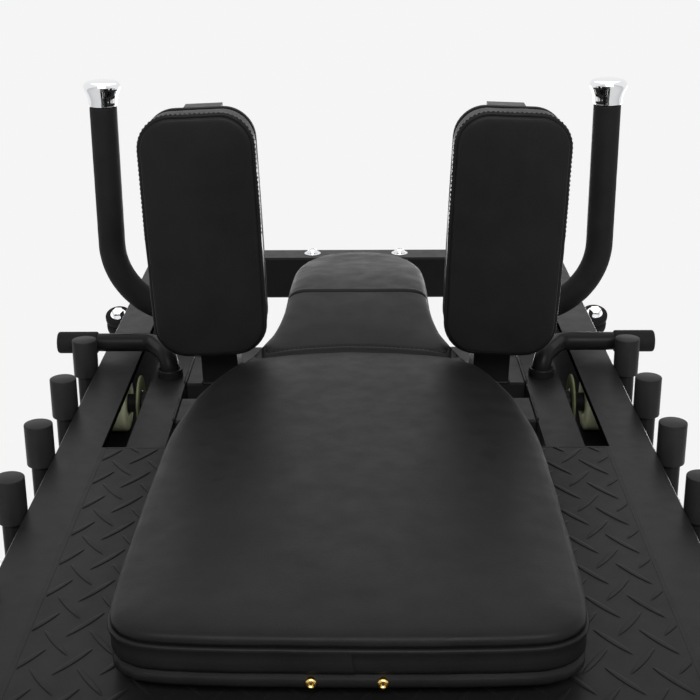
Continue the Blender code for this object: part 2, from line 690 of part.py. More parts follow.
def lock_arms():
    """Bent arms that turn in the sled's bosses and lie against the highest pegs."""
    reach = LOCK_ARM_S - LOCK_S
    for side, sign in SIDES:
        corners = [(0, 0, LOCK_STEM_BOTTOM), (0, 0, LOCK_HEIGHT), (sign * LOCK_ELBOW_X, reach, LOCK_HEIGHT),
                   (sign * (LOCK_ARM_END - LOCK_X), reach, LOCK_HEIGHT)]
        arm = tube(f"{side}_lock_arm", rounded_path(corners, 0.0165), LOCK_TUBE_RADIUS, BLACK_PAINT, slope,
                   (sign * LOCK_X, LOCK_S, 0), resolution=3)
        middle = (LOCK_SLEEVE_START + LOCK_ARM_END) / 2
        sleeve = cylinder(f"{side}_lock_sleeve", (sign * middle, LOCK_ARM_S, LOCK_HEIGHT), LOCK_SLEEVE_RADIUS,
                          LOCK_ARM_END - LOCK_SLEEVE_START + 0.001, "x", BLACK_PAINT, slope)
        weld(arm, sleeve)


def back_pad():
    """The long back pad with its head section, and the bars that carry it."""
    bars = None
    for side, sign in SIDES:
        centre = sign * PAD_BAR_X
        bar = box("pad_frame" if bars is None else "second_pad_bar",
                  (centre - PAD_BAR_WIDTH / 2, PAD_BAR_START, GAP),
                  (centre + PAD_BAR_WIDTH / 2, PAD_BAR_END, GAP + PAD_BAR_HEIGHT), BLACK_PAINT, slope, edge=0)
        if bars is None:
            bars = bar
        else:
            weld(bars, bar)
    strip_half = PAD_BAR_X - PAD_BAR_WIDTH / 2 + 0.005
    for name, s in (("low_strip", PAD_BAR_START + 0.030), ("high_strip", PAD_BAR_END - 0.040)):
        weld(bars, box(name, (-strip_half, s, GAP + 0.0010), (strip_half, s + 0.030, GAP + PAD_BAR_HEIGHT - 0.0010),
                       BLACK_PAINT, slope, edge=0))
    for side, sign in SIDES:
        weld(bars, box(f"{side}_pad_seat", (sign * PAD_BAR_X - 0.015, MID_PLATE_START + 0.010, SLED_TUBE_TOP + GAP),
                       (sign * PAD_BAR_X + 0.015, MID_PLATE_START + 0.050, GAP + 0.002), BLACK_PAINT, slope, edge=0))
    body = 0.1725
    outline = [(PAD_START, body - 0.036, 0.0042), (PAD_START + 0.007, body - 0.016, 0.0060),
               (PAD_START + 0.020, body - 0.003, 0.0090), (PAD_START + 0.045, body, PAD_CROWN * 0.85),
               (PAD_START + 0.160, body + 0.001, PAD_CROWN), (0.980, body - 0.0015, PAD_CROWN),
               (1.035, body - 0.008, PAD_CROWN), (1.083, body - 0.016, PAD_CROWN), (1.150, 0.136, PAD_CROWN),
               (1.195, 0.1145, PAD_CROWN * 0.75), (PAD_CREASE_S, 0.1065, 0.0050), (1.250, 0.0955, 0.0125),
               (1.310, 0.0860, 0.0250), (1.365, 0.0835, 0.0330), (1.395, 0.0830, 0.0320), (1.480, 0.0790, 0.0210),
               (1.545, 0.0665, 0.0120), (1.580, 0.0490, 0.0080), (PAD_END, 0.0300, 0.0050)]
    stations = []
    for near, far in zip(outline, outline[1:]):
        steps = max(1, round((far[0] - near[0]) / 0.032))
        fine = [row for row in smooth_through(outline, 400) if near[0] <= row[0] < far[0]]
        stations.append(near)
        for i in range(1, steps):
            stations.append(tuple(fine[len(fine) * i // steps]))
    stations.append(outline[-1])
    mesh = cushion_mesh("back_pad", stations, PAD_BAND, PAD_THICKNESS)
    add_object("back_pad", mesh, LEATHER, slope, (0, 0, PAD_BOTTOM))


def shoulder_pads():
    """Leaning posts with a mounting plate, and the pads on them."""
    for side, sign in SIDES:
        lean = sign * SHOULDER_LEAN
        lift = POST_WIDTH / 2 * sin(SHOULDER_LEAN) + GAP
        foot = (sign * SHOULDER_X, POST_START, SLED_TUBE_TOP + lift)
        post = box(f"{side}_shoulder_post", (foot[0] - POST_WIDTH / 2, POST_START, foot[2]),
                   (foot[0] + POST_WIDTH / 2, POST_START + POST_DEPTH, POST_TOP), BLACK_PAINT, slope,
                   edge=0, rotation=(0, lean, 0), origin=foot)
        plate_low = SHOULDER_PAD_BOTTOM + 0.045
        plate_high = SHOULDER_PAD_BOTTOM + SHOULDER_PAD_HEIGHT - 0.030
        plate = box(f"{side}_shoulder_plate", (foot[0] - 0.040, POST_START - SHOULDER_PLATE, plate_low),
                    (foot[0] + 0.040, POST_START + 0.002, plate_high), BLACK_PAINT, slope,
                    edge=0, rotation=(0, lean, 0), origin=foot)
        weld(post, plate)
        middle = SHOULDER_PAD_BOTTOM + SHOULDER_PAD_HEIGHT / 2
        centre = (sign * (SHOULDER_X + tan(SHOULDER_LEAN) * middle), SHOULDER_PAD_BACK, middle)
        plain_cushion(f"{side}_shoulder_pad", SHOULDER_PAD_HEIGHT, SHOULDER_PAD_HALF, SHOULDER_PAD_CORNER,
                      0.012, SHOULDER_PAD_THICKNESS, SHOULDER_CROWN, slope, centre, (pi / 2, lean, 0))


def handles():
    """Bent handles with thick grips, and their chrome caps."""
    for side, sign in SIDES:
        foot = SLED_TUBE_TOP + GAP
        corners = [(sign * (LOCK_X - 0.018), HANDLE_S, HANDLE_LOW), (sign * HANDLE_X, HANDLE_S, HANDLE_LOW),
                   (sign * HANDLE_X, HANDLE_S, HANDLE_TOP)]
        bend = rounded_path(corners, HANDLE_BEND)
        core = tube(f"{side}_handle", bend, HANDLE_TUBE_RADIUS, FOAM, slope, resolution=2)
        grip = tube(f"{side}_grip", [point for point in bend[2:-1]] + [bend[-1] - Vector((0, 0, 0.0005))],
                    HANDLE_GRIP_RADIUS, FOAM, slope, resolution=3)
        weld(core, grip)
        weld(core, box(f"{side}_handle_foot", (sign * LOCK_X - 0.0115, HANDLE_S - 0.016, foot),
                       (sign * LOCK_X + 0.0115, HANDLE_S + 0.016, HANDLE_LOW - 0.002), FOAM, slope, edge=0))
        height = HANDLE_CAP_HEIGHT
        profile = [(0, height), (HANDLE_CAP_RADIUS * 0.85, height), (HANDLE_CAP_RADIUS, height - 0.004),
                   (HANDLE_CAP_RADIUS, height - 0.009), (0.0180, height - 0.017), (0.0180, 0.002), (0.0170, 0), (0, 0)]
        turned(f"{side}_handle_cap", profile, CHROME, slope, (sign * HANDLE_X, HANDLE_S, HANDLE_TOP + GAP), sides=24)


def arc_points(centre, radius, start, end, steps):
    """Points along an arc in the (y, z) plane."""
    return [(centre[0] + radius * cos(start + (end - start) * i / steps),
             centre[1] + radius * sin(start + (end - start) * i / steps)) for i in range(steps + 1)]


def seat():
    """Seat cushion and the bracket with its slotted sector for the back rest."""
    plain_cushion("seat_cushion", SEAT_LENGTH, SEAT_HALF, CUSHION_CORNER, 0.012, SEAT_THICKNESS, SEAT_CROWN,
                  None, (0, SEAT_Y, SEAT_Z), (SEAT_TILT, 0, 0))
    pivot = (PIVOT_Y, PIVOT_Z)
    drop = GAP / cos(SEAT_TILT)
    foot = BASE_TOP + GAP

    def under_seat(y):
        return SEAT_Z + (y - SEAT_Y) * tan(SEAT_TILT) - drop

    outline = [(PIVOT_Y - 0.110, foot), (SEAT_Y + 0.060, foot), (SEAT_Y + 0.110, under_seat(SEAT_Y + 0.110)),
               (SEAT_REAR_Y - 0.014, under_seat(SEAT_REAR_Y - 0.014)), (PIVOT_Y + 0.030, PIVOT_Z - 0.010),
               (PIVOT_Y + 0.022, PIVOT_Z + 0.020)]
    outline += arc_points(pivot, SECTOR_RADIUS, radians(106), radians(150), 8)
    bracket = side_plate("seat_bracket", outline, -BRACKET_HALF, BRACKET_HALF, BLACK_PAINT)
    cut(bracket, cylinder("pivot_bore", (0, *pivot), 0.008 + GAP + 0.0002, 0.1, "x", BLACK_PAINT))
    spread = REST_TRAVEL + radians(3)
    inner = arc_points(pivot, SLOT_RADIUS - 0.0065, REST_ANGLE + radians(3), REST_ANGLE - spread, 8)
    outer = arc_points(pivot, SLOT_RADIUS + 0.0065, REST_ANGLE - spread, REST_ANGLE + radians(3), 8)
    cut(bracket, side_plate("sector_slot", inner + outer, -0.05, 0.05, BLACK_PAINT))


def back_rest():
    """The reclining back rest, built along +Y from its pivot, and its clamp knob."""
    pivot = (0, PIVOT_Y, PIVOT_Z)
    hinge = bpy.data.objects.new("back_rest_pivot", None)
    hinge.location = pivot
    hinge.rotation_euler = (REST_ANGLE, 0, 0)
    parts.objects.link(hinge)
    half = REST_BAR_DEPTH / 2
    frame = None
    for side, sign in SIDES:
        x_low, x_high = sorted((sign * (REST_BAR_X - REST_BAR_WIDTH / 2), sign * (REST_BAR_X + REST_BAR_WIDTH / 2)))
        bar = box("back_rest_frame" if frame is None else "second_rest_bar",
                  (x_low, -0.018, -half), (x_high, REST_BAR_LENGTH, half), BLACK_PAINT, hinge, edge=0)
        if frame is None:
            frame = bar
        else:
            weld(frame, bar)
    reach = REST_BAR_X - REST_BAR_WIDTH / 2 + 0.004
    for name, start in (("low_cleat", REST_START + 0.020), ("high_cleat", REST_BAR_LENGTH - 0.060)):
        weld(frame, box(name, (-reach, start, -half + 0.004), (reach, start + 0.040, half - 0.004),
                        BLACK_PAINT, hinge, edge=0))
    weld(frame, cylinder("pivot_pin", (0, 0, 0), 0.008, 2 * REST_BAR_X + REST_BAR_WIDTH + 0.008, "x",
                         BLACK_PAINT, hinge, sides=16))
    cut(frame, cylinder("knob_bore", (0, SLOT_RADIUS, 0), KNOB_STUD_RADIUS + GAP + 0.0002, 0.2, "x",
                        BLACK_PAINT, hinge, sides=16))
    plain_cushion("back_rest_cushion", REST_LENGTH, REST_HALF, CUSHION_CORNER, 0.012, REST_THICKNESS, REST_CROWN,
                  hinge, (0, REST_START + REST_LENGTH / 2, -half - GAP), (0, pi, 0))
    outer = REST_BAR_X + REST_BAR_WIDTH / 2
    profile = [(0, outer + 0.028), (0.017, outer + 0.028), (0.021, outer + 0.024), (0.021, outer + 0.012),
               (0.012, outer + 0.009), (0.012, outer + GAP), (KNOB_STUD_RADIUS, outer + GAP),
               (KNOB_STUD_RADIUS, -outer - 0.006), (0, -outer - 0.006)]
    turned("back_rest_knob", profile, RUBBER, hinge, (0, SLOT_RADIUS, 0), (0, pi / 2, 0), sides=20)


def foot_boards():
    """Tilted boards for the feet on both sides of the seat, each on a post."""
    for side, sign in SIDES:
        centre = (sign * BOARD_X, BOARD_Y, BOARD_Z)
        half = Vector((BOARD_WIDTH / 2, BOARD_LENGTH / 2, BOARD_THICKNESS / 2))
        board = box(f"{side}_foot_board", Vector(centre) - half, Vector(centre) + half, BLACK_PAINT, None,
                    edge=0, rotation=(BOARD_TILT, 0, 0), origin=centre)
        rib_x = sign * RAIL_CENTRE
        low = (rib_x - BOARD_RIB / 2, BOARD_Y - 0.180, BOARD_Z - BOARD_THICKNESS / 2 - BOARD_RIB)
        high = (rib_x + BOARD_RIB / 2, BOARD_Y + 0.180, BOARD_Z - BOARD_THICKNESS / 2 + 0.001)
        rib = box(f"{side}_board_rib", low, high, BLACK_PAINT, None, edge=0, rotation=(BOARD_TILT, 0, 0),
                  origin=centre)
        weld(board, rib)

        def under_rib(y):
            drop = (BOARD_THICKNESS / 2 + BOARD_RIB) / cos(BOARD_TILT)
            return BOARD_Z - drop + (y - BOARD_Y) * tan(BOARD_TILT) + 0.004

        y = BOARD_POST_Y
        foot = BASE_TOP + GAP
        outline = [(y, foot), (y + BOARD_POST_DEPTH, foot), (y + BOARD_POST_DEPTH, under_rib(y + BOARD_POST_DEPTH)),
                   (y, under_rib(y))]
        weld(board, side_plate(f"{side}_board_post", outline, rib_x - BOARD_RIB / 2 + 0.0005,
                               rib_x + BOARD_RIB / 2 - 0.0005, BLACK_PAINT))


base_frame()
posts_under_rails()
rails()
stop_ladders()
side_hubs()
sled_side_frames()
sled_cross_members()
rollers()
lock_arms()
back_pad()
shoulder_pads()
handles()
seat()
back_rest()
foot_boards()
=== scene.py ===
"""Looks of the leg press hack squat machine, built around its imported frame."""
from math import ceil, cos, pi, radians, sin, tan

import bpy
import bmesh
import numpy as np
from mathutils import Matrix, Vector, noise


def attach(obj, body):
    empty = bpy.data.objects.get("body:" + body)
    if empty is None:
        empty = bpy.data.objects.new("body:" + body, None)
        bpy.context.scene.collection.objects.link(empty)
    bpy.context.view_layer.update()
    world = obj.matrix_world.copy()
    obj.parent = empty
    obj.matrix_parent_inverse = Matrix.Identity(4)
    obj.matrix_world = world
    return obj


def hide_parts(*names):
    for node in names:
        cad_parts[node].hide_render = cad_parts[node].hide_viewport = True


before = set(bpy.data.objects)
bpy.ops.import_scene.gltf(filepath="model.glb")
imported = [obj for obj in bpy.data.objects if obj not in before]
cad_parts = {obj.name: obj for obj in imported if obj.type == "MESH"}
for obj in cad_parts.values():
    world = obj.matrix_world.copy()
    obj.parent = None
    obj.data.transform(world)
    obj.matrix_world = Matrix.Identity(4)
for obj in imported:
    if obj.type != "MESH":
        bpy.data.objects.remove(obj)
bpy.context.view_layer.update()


def spin(degrees, axis):
    """A turn about an axis."""
    return Matrix.Rotation(radians(degrees), 4, axis)


def shift(x, y, z):
    """A move."""
    return Matrix.Translation((x, y, z))


def noise_at(x, y, z):
    """Smooth noise that is the same on each run."""
    return noise.noise(Vector((x, y, z)))


# The rails' frame: x across, s up the slope, n square to the rails' top
SLOPE = shift(0, -0.3, 0.5) @ spin(45, "X")
LEVEL = Matrix.Identity(4)
ALONG_X = spin(90, "Y")
ALONG_S = spin(-90, "X")
FACE_DOWN_S = spin(90, "X")
SIDES = (("left", -1), ("right", 1))

# Places that follow the CAD part
RAIL_INNER = 0.25
RAIL_OUTER = 0.294
PEG_X = 0.3088
PEG_PITCH = 0.122
PEGS = [1.299 - PEG_PITCH * k for k in range(6)]
TUBE_X = 0.2095
LOCK_S = 1.278
LOCK_ARM_S = 1.3258
LOCK_ARM_N = 0.018
HANDLE_S = 1.44
HANDLE_X = 0.2955
ROLLERS = (("low", 0.7), ("high", 1.278))
AXLE_N = -0.0383
SHOULDER_X = 0.1497
SHOULDER_LEAN = 2.25
PAD_BOTTOM = 0.008
DECK_LOW = 0.6
DECK_HIGH = 1.068
BASE_TOP = 0.08
BACK_REST_PIVOT = (-0.56795, 0.19)
BACK_REST = shift(0, *BACK_REST_PIVOT) @ spin(135, "X")


def at(x, s, n, turn=LEVEL):
    """A place on the slope, with local Z along n, or turned by a matrix."""
    return SLOPE @ shift(x, s, n) @ turn


def foot_board(sign, x=0.0, y=0.0, z=0.0):
    """A place on a foot board, with local Z out of its top."""
    return shift(sign * 0.262, -0.602, 0.414) @ spin(-32, "X") @ shift(x, y, z)


# Materials

CLOUD = (0.3, 0.7)
ROUGH_SPREAD = (-0.05, 0.06)
SPECULAR = 0.1


def add_node(tree, kind, inputs, **settings):
    """Adds a shader node. Each input is a value, or the output that is linked to it."""
    node = tree.nodes.new("ShaderNode" + kind)
    for name, value in settings.items():
        setattr(node, name, value)
    for place, value in inputs.items():
        if isinstance(value, bpy.types.NodeSocket):
            tree.links.new(value, node.inputs[place])
        else:
            node.inputs[place].default_value = value
    return node


def new_material(name, colour, roughness, metallic=0.0, specular=SPECULAR):
    """A Principled material with its plain values on the shader's own sockets."""
    material = bpy.data.materials.new(name)
    material.use_nodes = True
    shader = material.node_tree.nodes["Principled BSDF"]
    shader.inputs["Base Color"].default_value = (*colour, 1)
    shader.inputs["Roughness"].default_value = roughness
    shader.inputs["Metallic"].default_value = metallic
    if not metallic:
        shader.inputs["Specular IOR Level"].default_value = specular
    return material, material.node_tree, shader


def add_noise(tree, scale, detail):
    """A noise texture in the piece's own space."""
    place = add_node(tree, "TexCoord", {}).outputs["Object"]
    inputs = {"Scale": scale, "Detail": detail, "Roughness": 0.55, "Vector": place}
    return add_node(tree, "TexNoise", inputs).outputs["Fac"]


def add_cells(tree, scale):
    """A cell texture in the piece's own space."""
    place = add_node(tree, "TexCoord", {}).outputs["Object"]
    inputs = {"Scale": scale, "Smoothness": 0.6, "Vector": place}
    return add_node(tree, "TexVoronoi", inputs, feature="SMOOTH_F1").outputs["Distance"]


def vary_roughness(tree, shader, cloud, low, high):
    """Lets the roughness follow a noise, from low to high."""
    inputs = {"Value": cloud, "From Min": CLOUD[0], "From Max": CLOUD[1], "To Min": low, "To Max": high}
    tree.links.new(add_node(tree, "MapRange", inputs).outputs["Result"], shader.inputs["Roughness"])


def vary_colour(tree, shader, cloud, low, high):
    """Lets the base colour follow a noise, from low to high."""
    ramp = add_node(tree, "ValToRGB", {"Fac": cloud})
    for stop, position, colour in zip(ramp.color_ramp.elements, CLOUD, (low, high)):
        stop.position = position
        stop.color = (*colour, 1)
    tree.links.new(ramp.outputs["Color"], shader.inputs["Base Color"])


def add_bump(tree, shader, heights, strength, distance):
    """Bump from one or more (height, share) pairs, each on top of the one before."""
    normal = None
    for height, share in heights:
        inputs = {"Strength": strength * share, "Distance": distance, "Height": height}
        if normal is not None:
            inputs["Normal"] = normal
        normal = add_node(tree, "Bump", inputs).outputs["Normal"]
    tree.links.new(normal, shader.inputs["Normal"])


def dark_coat(name, grey, blue, roughness, shade, colour_cloud, rough_cloud):
    """A nearly black material with a faint blue tint, clouded in colour and gloss."""
    material, tree, shader = new_material(name, (grey, grey, grey * blue), roughness)
    dark, light = shade
    high = (grey * light, grey * light, grey * (light + 0.04))
    vary_colour(tree, shader, add_noise(tree, *colour_cloud), (grey * dark,) * 3, high)
    vary_roughness(tree, shader, add_noise(tree, *rough_cloud), *(roughness + step for step in ROUGH_SPREAD))
    return material, tree, shader


def powder_coat(name, grey=0.012, roughness=0.34):
    """Black powder coat with its fine orange peel."""
    material, tree, shader = dark_coat(name, grey, 1.03, roughness, (0.9, 1.12), (14, 4), (60, 5))
    add_bump(tree, shader, ((add_noise(tree, 1500, 2), 1.0), (add_noise(tree, 420, 2), 0.5)), 0.22, 0.0003)
    return material


def leather(name):
    """Black upholstery with a fine pebble grain."""
    material, tree, shader = dark_coat(name, 0.012, 1.02, 0.42, (0.86, 1.16), (22, 5), (45, 4))
    heights = ((add_cells(tree, 950), 1.0), (add_noise(tree, 260, 3), 0.35), (add_noise(tree, 38, 2), 0.5))
    add_bump(tree, shader, heights, 0.2, 0.0004)
    return material


def rubbery(name, grey, roughness, grain=1300, strength=0.3):
    """Rubber or foam with a fine skin."""
    material, tree, shader = new_material(name, (grey,) * 3, roughness)
    vary_colour(tree, shader, add_noise(tree, 30, 4), (grey * 0.85,) * 3, (grey * 1.2,) * 3)
    add_bump(tree, shader, ((add_noise(tree, grain, 3), 1.0),), strength, 0.0004)
    return material


def metal(name, colour, roughness, smear=0.03):
    """Bright metal with faint smears."""
    material, tree, shader = new_material(name, colour, roughness, 1.0)
    vary_roughness(tree, shader, add_noise(tree, 90, 6), roughness, roughness + smear)
    return material


def moulded(name, low, high, roughness=0.38, specular=SPECULAR):
    """Moulded plastic with a slight clouding."""
    material, tree, shader = new_material(name, low, roughness, specular=specular)
    vary_colour(tree, shader, add_noise(tree, 55, 4), low, high)
    add_bump(tree, shader, ((add_noise(tree, 500, 3), 1.0),), 0.12, 0.0003)
    return material


def rail_coat():
    """Powder coat with painted shade: a dull near-black diffuse on the lip of the rails' channels stands in
    for their shadow line.
    """
    material = powder_coat("rail_coat")
    tree = material.node_tree
    place = add_node(tree, "NewGeometry", {}).outputs["Position"]
    parts = add_node(tree, "SeparateXYZ", {0: place})
    across = add_node(tree, "Math", {0: parts.outputs["X"]}, operation="ABSOLUTE")
    lip = add_node(tree, "Math", {0: across.outputs[0], 1: RAIL_INNER + 0.001}, operation="LESS_THAN")
    # painted shade: a near-black dull diffuse replaces the coat on the channels' lip, where the rail's edge
    # lies in shadow
    painted_shade = add_node(tree, "BsdfDiffuse", {"Color": (0.004, 0.004, 0.004, 1)})
    coat = tree.nodes["Principled BSDF"].outputs[0]
    mix = add_node(tree, "MixShader", {0: lip.outputs[0], 1: coat, 2: painted_shade.outputs[0]})
    tree.links.new(mix.outputs[0], tree.nodes["Material Output"].inputs["Surface"])
    return material


PAINT = powder_coat("powder_coat")
RAIL_PAINT = rail_coat()
PLATE_PAINT = powder_coat("tread_plate_coat", 0.011, 0.38)
LEATHER = leather("pad_leather")
THREAD = rubbery("stitch_thread", 0.005, 0.6, 2500, 0.4)
BOARD = rubbery("pad_board", 0.006, 0.6, 700, 0.25)
FOAM = rubbery("foam_skin", 0.014, 0.62, 1500, 0.45)
RUBBER = rubbery("black_rubber", 0.013, 0.68)
SLEEVE = rubbery("peg_sleeve", 0.021, 0.4, 900, 0.15)
CHROME = metal("mirror_chrome", (0.86, 0.87, 0.88), 0.05)
ZINC = metal("zinc_plate", (0.62, 0.63, 0.64), 0.22, 0.1)
BRASS = metal("brass", (0.86, 0.6, 0.2), 0.12, 0.06)
TYRE = moulded("tyre_plastic", (0.62, 0.64, 0.4), (0.72, 0.74, 0.52), specular=0.0)
# painted shade: the core's yellow-green plastic tone is darkened to stand in for the shadow in the tyre's
# recess and on the slim disc
SHADED_CORE = moulded("tyre_core_painted_shade", (0.14, 0.15, 0.08), (0.2, 0.21, 0.12), specular=0.0)
PLUG = moulded("end_plug_plastic", (0.012,) * 3, (0.018,) * 3, 0.5)

SLOTS = {look.name: slot for slot, looks in (
    ("black_paint", (PAINT, PLATE_PAINT)), ("leather", (LEATHER, THREAD, BOARD)), ("foam_grip", (FOAM,)),
    ("rubber", (RUBBER, SLEEVE, PLUG)), ("chrome", (CHROME, ZINC, BRASS)), ("cream_tyre", (TYRE, SHADED_CORE)))
    for look in looks}


# Mesh helpers

def mesh_from(build, name):
    """A mesh from a function that fills a bmesh."""
    shape = bmesh.new()
    build(shape)
    bmesh.ops.recalc_face_normals(shape, faces=shape.faces)
    mesh = bpy.data.meshes.new(name)
    shape.to_mesh(mesh)
    shape.free()
    return mesh


def add_object(name, data):
    """Adds an object to the scene."""
    obj = bpy.data.objects.new(name, data)
    bpy.context.scene.collection.objects.link(obj)
    return obj


def add_piece(name, form, material, body, replaces=(), padded=None, smooth=40):
    """Adds a piece that rides on a body; form is a mesh, or a function that fills a bmesh."""
    mesh = mesh_from(form, name) if callable(form) else form
    obj = add_object(name, mesh)
    mesh.materials.append(material)
    mesh.shade_smooth()
    mesh.set_sharp_from_angle(angle=radians(smooth))
    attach(obj, body)
    if replaces:
        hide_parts(*replaces)
    return obj


def add_turned(name, profile, material, body, matrix, sides, **more):
    """Adds a piece that is one turned solid."""
    add_piece(name, lambda shape: lathe(shape, profile, matrix, sides), material, body, **more)


def join_rings(shape, rings, capped=False):
    """Adds the faces between closed rings of vertices. A ring may be a single vertex."""
    for near, far in zip(rings, rings[1:]):
        count = max(len(near), len(far))
        for i in range(count if count > 1 else 0):
            j = (i + 1) % count
            if len(near) == 1:
                shape.faces.new((near[0], far[i], far[j]))
            elif len(far) == 1:
                shape.faces.new((near[i], near[j], far[0]))
            else:
                shape.faces.new((near[i], near[j], far[j], far[i]))
    if capped:
        shape.faces.new(rings[0])
        shape.faces.new(rings[-1])


def add_ring(shape, centre, side, other, radius, sides, matrix=LEVEL):
    """Adds a ring of vertices about a centre, in the plane of two directions."""
    angles = [2 * pi * k / sides for k in range(sides)]
    return [shape.verts.new(matrix @ (centre + (side * cos(a) + other * sin(a)) * radius)) for a in angles]


def lathe(shape, profile, matrix, sides):
    """Adds a turned solid about local Z: the profile holds (radius, height) pairs."""
    angles = [2 * pi * i / sides for i in range(sides)]
    join_rings(shape, [[shape.verts.new(matrix @ Vector((radius * cos(a), radius * sin(a), height)))
                        for a in (angles if radius else angles[:1])] for radius, height in profile])


def there_and_back(ring, near, far):
    """A closed profile from (radius, depth) pairs, which mirror between two heights."""
    profile = [(radius, near + depth) for radius, depth in ring]
    profile += [(radius, far - depth) for radius, depth in reversed(ring)]
    return profile + profile[:1]


def rounded_path(points, radius, step=radians(9)):
    """A path with its inner corners rounded by arcs."""
    points = [Vector(point) for point in points]
    path = [points[0]]
    for before, corner, after in zip(points, points[1:], points[2:]):
        back = (before - corner).normalized()
        ahead = (after - corner).normalized()
        turn = pi - back.angle(ahead)
        reach = radius * tan(turn / 2)
        centre = corner + (back + ahead).normalized() * (radius / cos(turn / 2))
        start = corner + back * reach - centre
        end = corner + ahead * reach - centre
        count = max(2, ceil(turn / step))
        for i in range(count + 1):
            share = i / count
            path.append(centre + (start * sin((1 - share) * turn) + end * sin(share * turn)) / sin(turn))
    path.append(points[-1])
    return path


def sweep(shape, path, radii, matrix, sides, cap_round=0.0):
    """Adds a round bar along a path; radii is one value or one for each point."""
    path = [Vector(point) for point in path]
    radii = [radii] * len(path) if isinstance(radii, float) else list(radii)
    if cap_round:
        first = (path[1] - path[0]).normalized()
        last = (path[-1] - path[-2]).normalized()
        steps = [(cap_round * (1 - cos(a)), cap_round * (1 - sin(a))) for a in (pi / 8 * i for i in range(5))]
        head = [(path[0] + first * inward, radii[0] - off) for inward, off in steps]
        tail = [(path[-1] - last * inward, radii[-1] - off) for inward, off in reversed(steps)]
        path = [point for point, _ in head] + path[1:-1] + [point for point, _ in tail]
        radii = [radius for _, radius in head] + radii[1:-1] + [radius for _, radius in tail]
    side = None
    rings = []
    for i, point in enumerate(path):
        ahead = (path[min(i + 1, len(path) - 1)] - path[max(i - 1, 0)]).normalized()
        if side is None:
            side = ahead.orthogonal().normalized()
        side = (side - ahead * side.dot(ahead)).normalized()
        rings.append(add_ring(shape, point, side, ahead.cross(side), radii[i], sides, matrix))
    join_rings(shape, rings, capped=True)


def hex_bolt(shape, matrix, across, height, washer):
    """Adds a hex head on a washer, standing on local Z."""
    base, edge = 0.0014, 0.001
    ring = [(0, 0), (washer, 0), (washer, edge), (washer - 0.0004, base), (across * 0.9, base), (0, base)]
    lathe(shape, ring, matrix, 28)
    top = base + height
    lathe(shape, [(0, edge), (across, edge), (across, top - edge), (across * 0.86, top), (0, top)], matrix, 6)


def button_bolt(shape, matrix, radius, height, washer):
    """Adds a dome head with a socket on a washer."""
    base = 0.0016
    lathe(shape, [(0, 0), (washer, 0), (washer, 0.0012), (washer - 0.0005, base), (0, base)], matrix, 32)
    socket = base + height * 0.55
    dome = [(0, base - 0.0003), (radius, base - 0.0003)]
    dome += [(radius * cos(a), base + height * sin(a)) for a in (0.05, 0.35, 0.7, 1.0)]
    dome += [(radius * 0.4, base + height * 0.93), (radius * 0.36, socket), (0, socket)]
    lathe(shape, dome, matrix, 30)


def block(shape, low, high, matrix=SLOPE, bevel=0.0012, segments=2):
    """Adds a block with softened edges between two corners."""
    near = [min(a, b) for a, b in zip(low, high)]
    far = [max(a, b) for a, b in zip(low, high)]
    corners = bmesh.ops.create_cube(shape, size=1)["verts"]
    for vert in corners:
        vert.co = matrix @ Vector([near[k] + (vert.co[k] + 0.5) * (far[k] - near[k]) for k in range(3)])
    edges = list(dict.fromkeys(edge for vert in corners for edge in vert.link_edges))
    bmesh.ops.bevel(shape, geom=edges, offset=bevel, segments=segments, affect="EDGES", profile=0.5)


def weld_bead(shape, points, matrix=SLOPE, radius=0.0019):
    """Adds a rippled weld bead along straight stretches."""
    pitch = 0.0011
    for start, end in zip(points, points[1:]):
        start, end = Vector(start), Vector(end)
        steps = max(4, ceil((end - start).length / pitch))
        path = [start.lerp(end, i / steps) for i in range(steps + 1)]
        radii = [radius * (0.93 + 0.13 * abs(sin(i * 1.05)) + 0.1 * noise_at(*(start + Vector((i, 2, 3)))))
                 for i in range(steps + 1)]
        radii[0] = radii[-1] = radius * 0.45
        sweep(shape, path, radii, matrix, 8)


def weld_round(shape, low, high, height, matrix=SLOPE, radius=0.0019):
    """Adds a weld bead round a rectangular foot that stands at a height."""
    corners = [(low[0], low[1]), (high[0], low[1]), (high[0], high[1]), (low[0], high[1]), (low[0], low[1])]
    weld_bead(shape, [(*corner, height) for corner in corners], matrix, radius)


# Pads: rings for board, band, seams and boxing round a crowned grid

SWELL_FRAMES = 20
SWELL_PRESSURE = 4.0
SWELL_CAP = 0.003
LIP = 0.001


def distances(path):
    """Distance along an open path at each of its points."""
    return np.concatenate([[0], np.cumsum(np.linalg.norm(np.diff(path, axis=0), axis=1))])


def along(loop):
    """Distance along a closed loop at each of its points, and its whole length."""
    places = distances(np.vstack([loop, loop[:1]]))
    return places[:-1], places[-1]


def segment_distance(points, loop):
    """Distance of each point from a closed loop."""
    start = np.asarray(loop)
    step = np.roll(start, -1, axis=0) - start
    length = np.maximum((step ** 2).sum(axis=1), 1e-12)
    nearest = np.empty(len(points))
    batch = 2000
    for first in range(0, len(points), batch):
        part = points[first:first + batch, None, :] - start[None]
        share = np.clip((part * step[None]).sum(axis=2) / length[None], 0, 1)
        away = part - share[..., None] * step[None]
        nearest[first:first + batch] = np.sqrt((away ** 2).sum(axis=2)).min(axis=1)
    return nearest


def outward(loop):
    """Unit vectors that point out of a closed loop, which runs anticlockwise."""
    ahead = np.roll(loop, -1, axis=0) - np.roll(loop, 1, axis=0)
    ahead /= np.linalg.norm(ahead, axis=1)[:, None]
    return np.stack([ahead[:, 1], -ahead[:, 0]], axis=1)


def resample(path, count):
    """An open path as count + 1 evenly spaced points."""
    path = np.asarray(path, float)
    places = distances(path)
    wanted = np.linspace(0, places[-1], count + 1)
    return np.stack([np.interp(wanted, places, path[:, k]) for k in range(2)], axis=1)


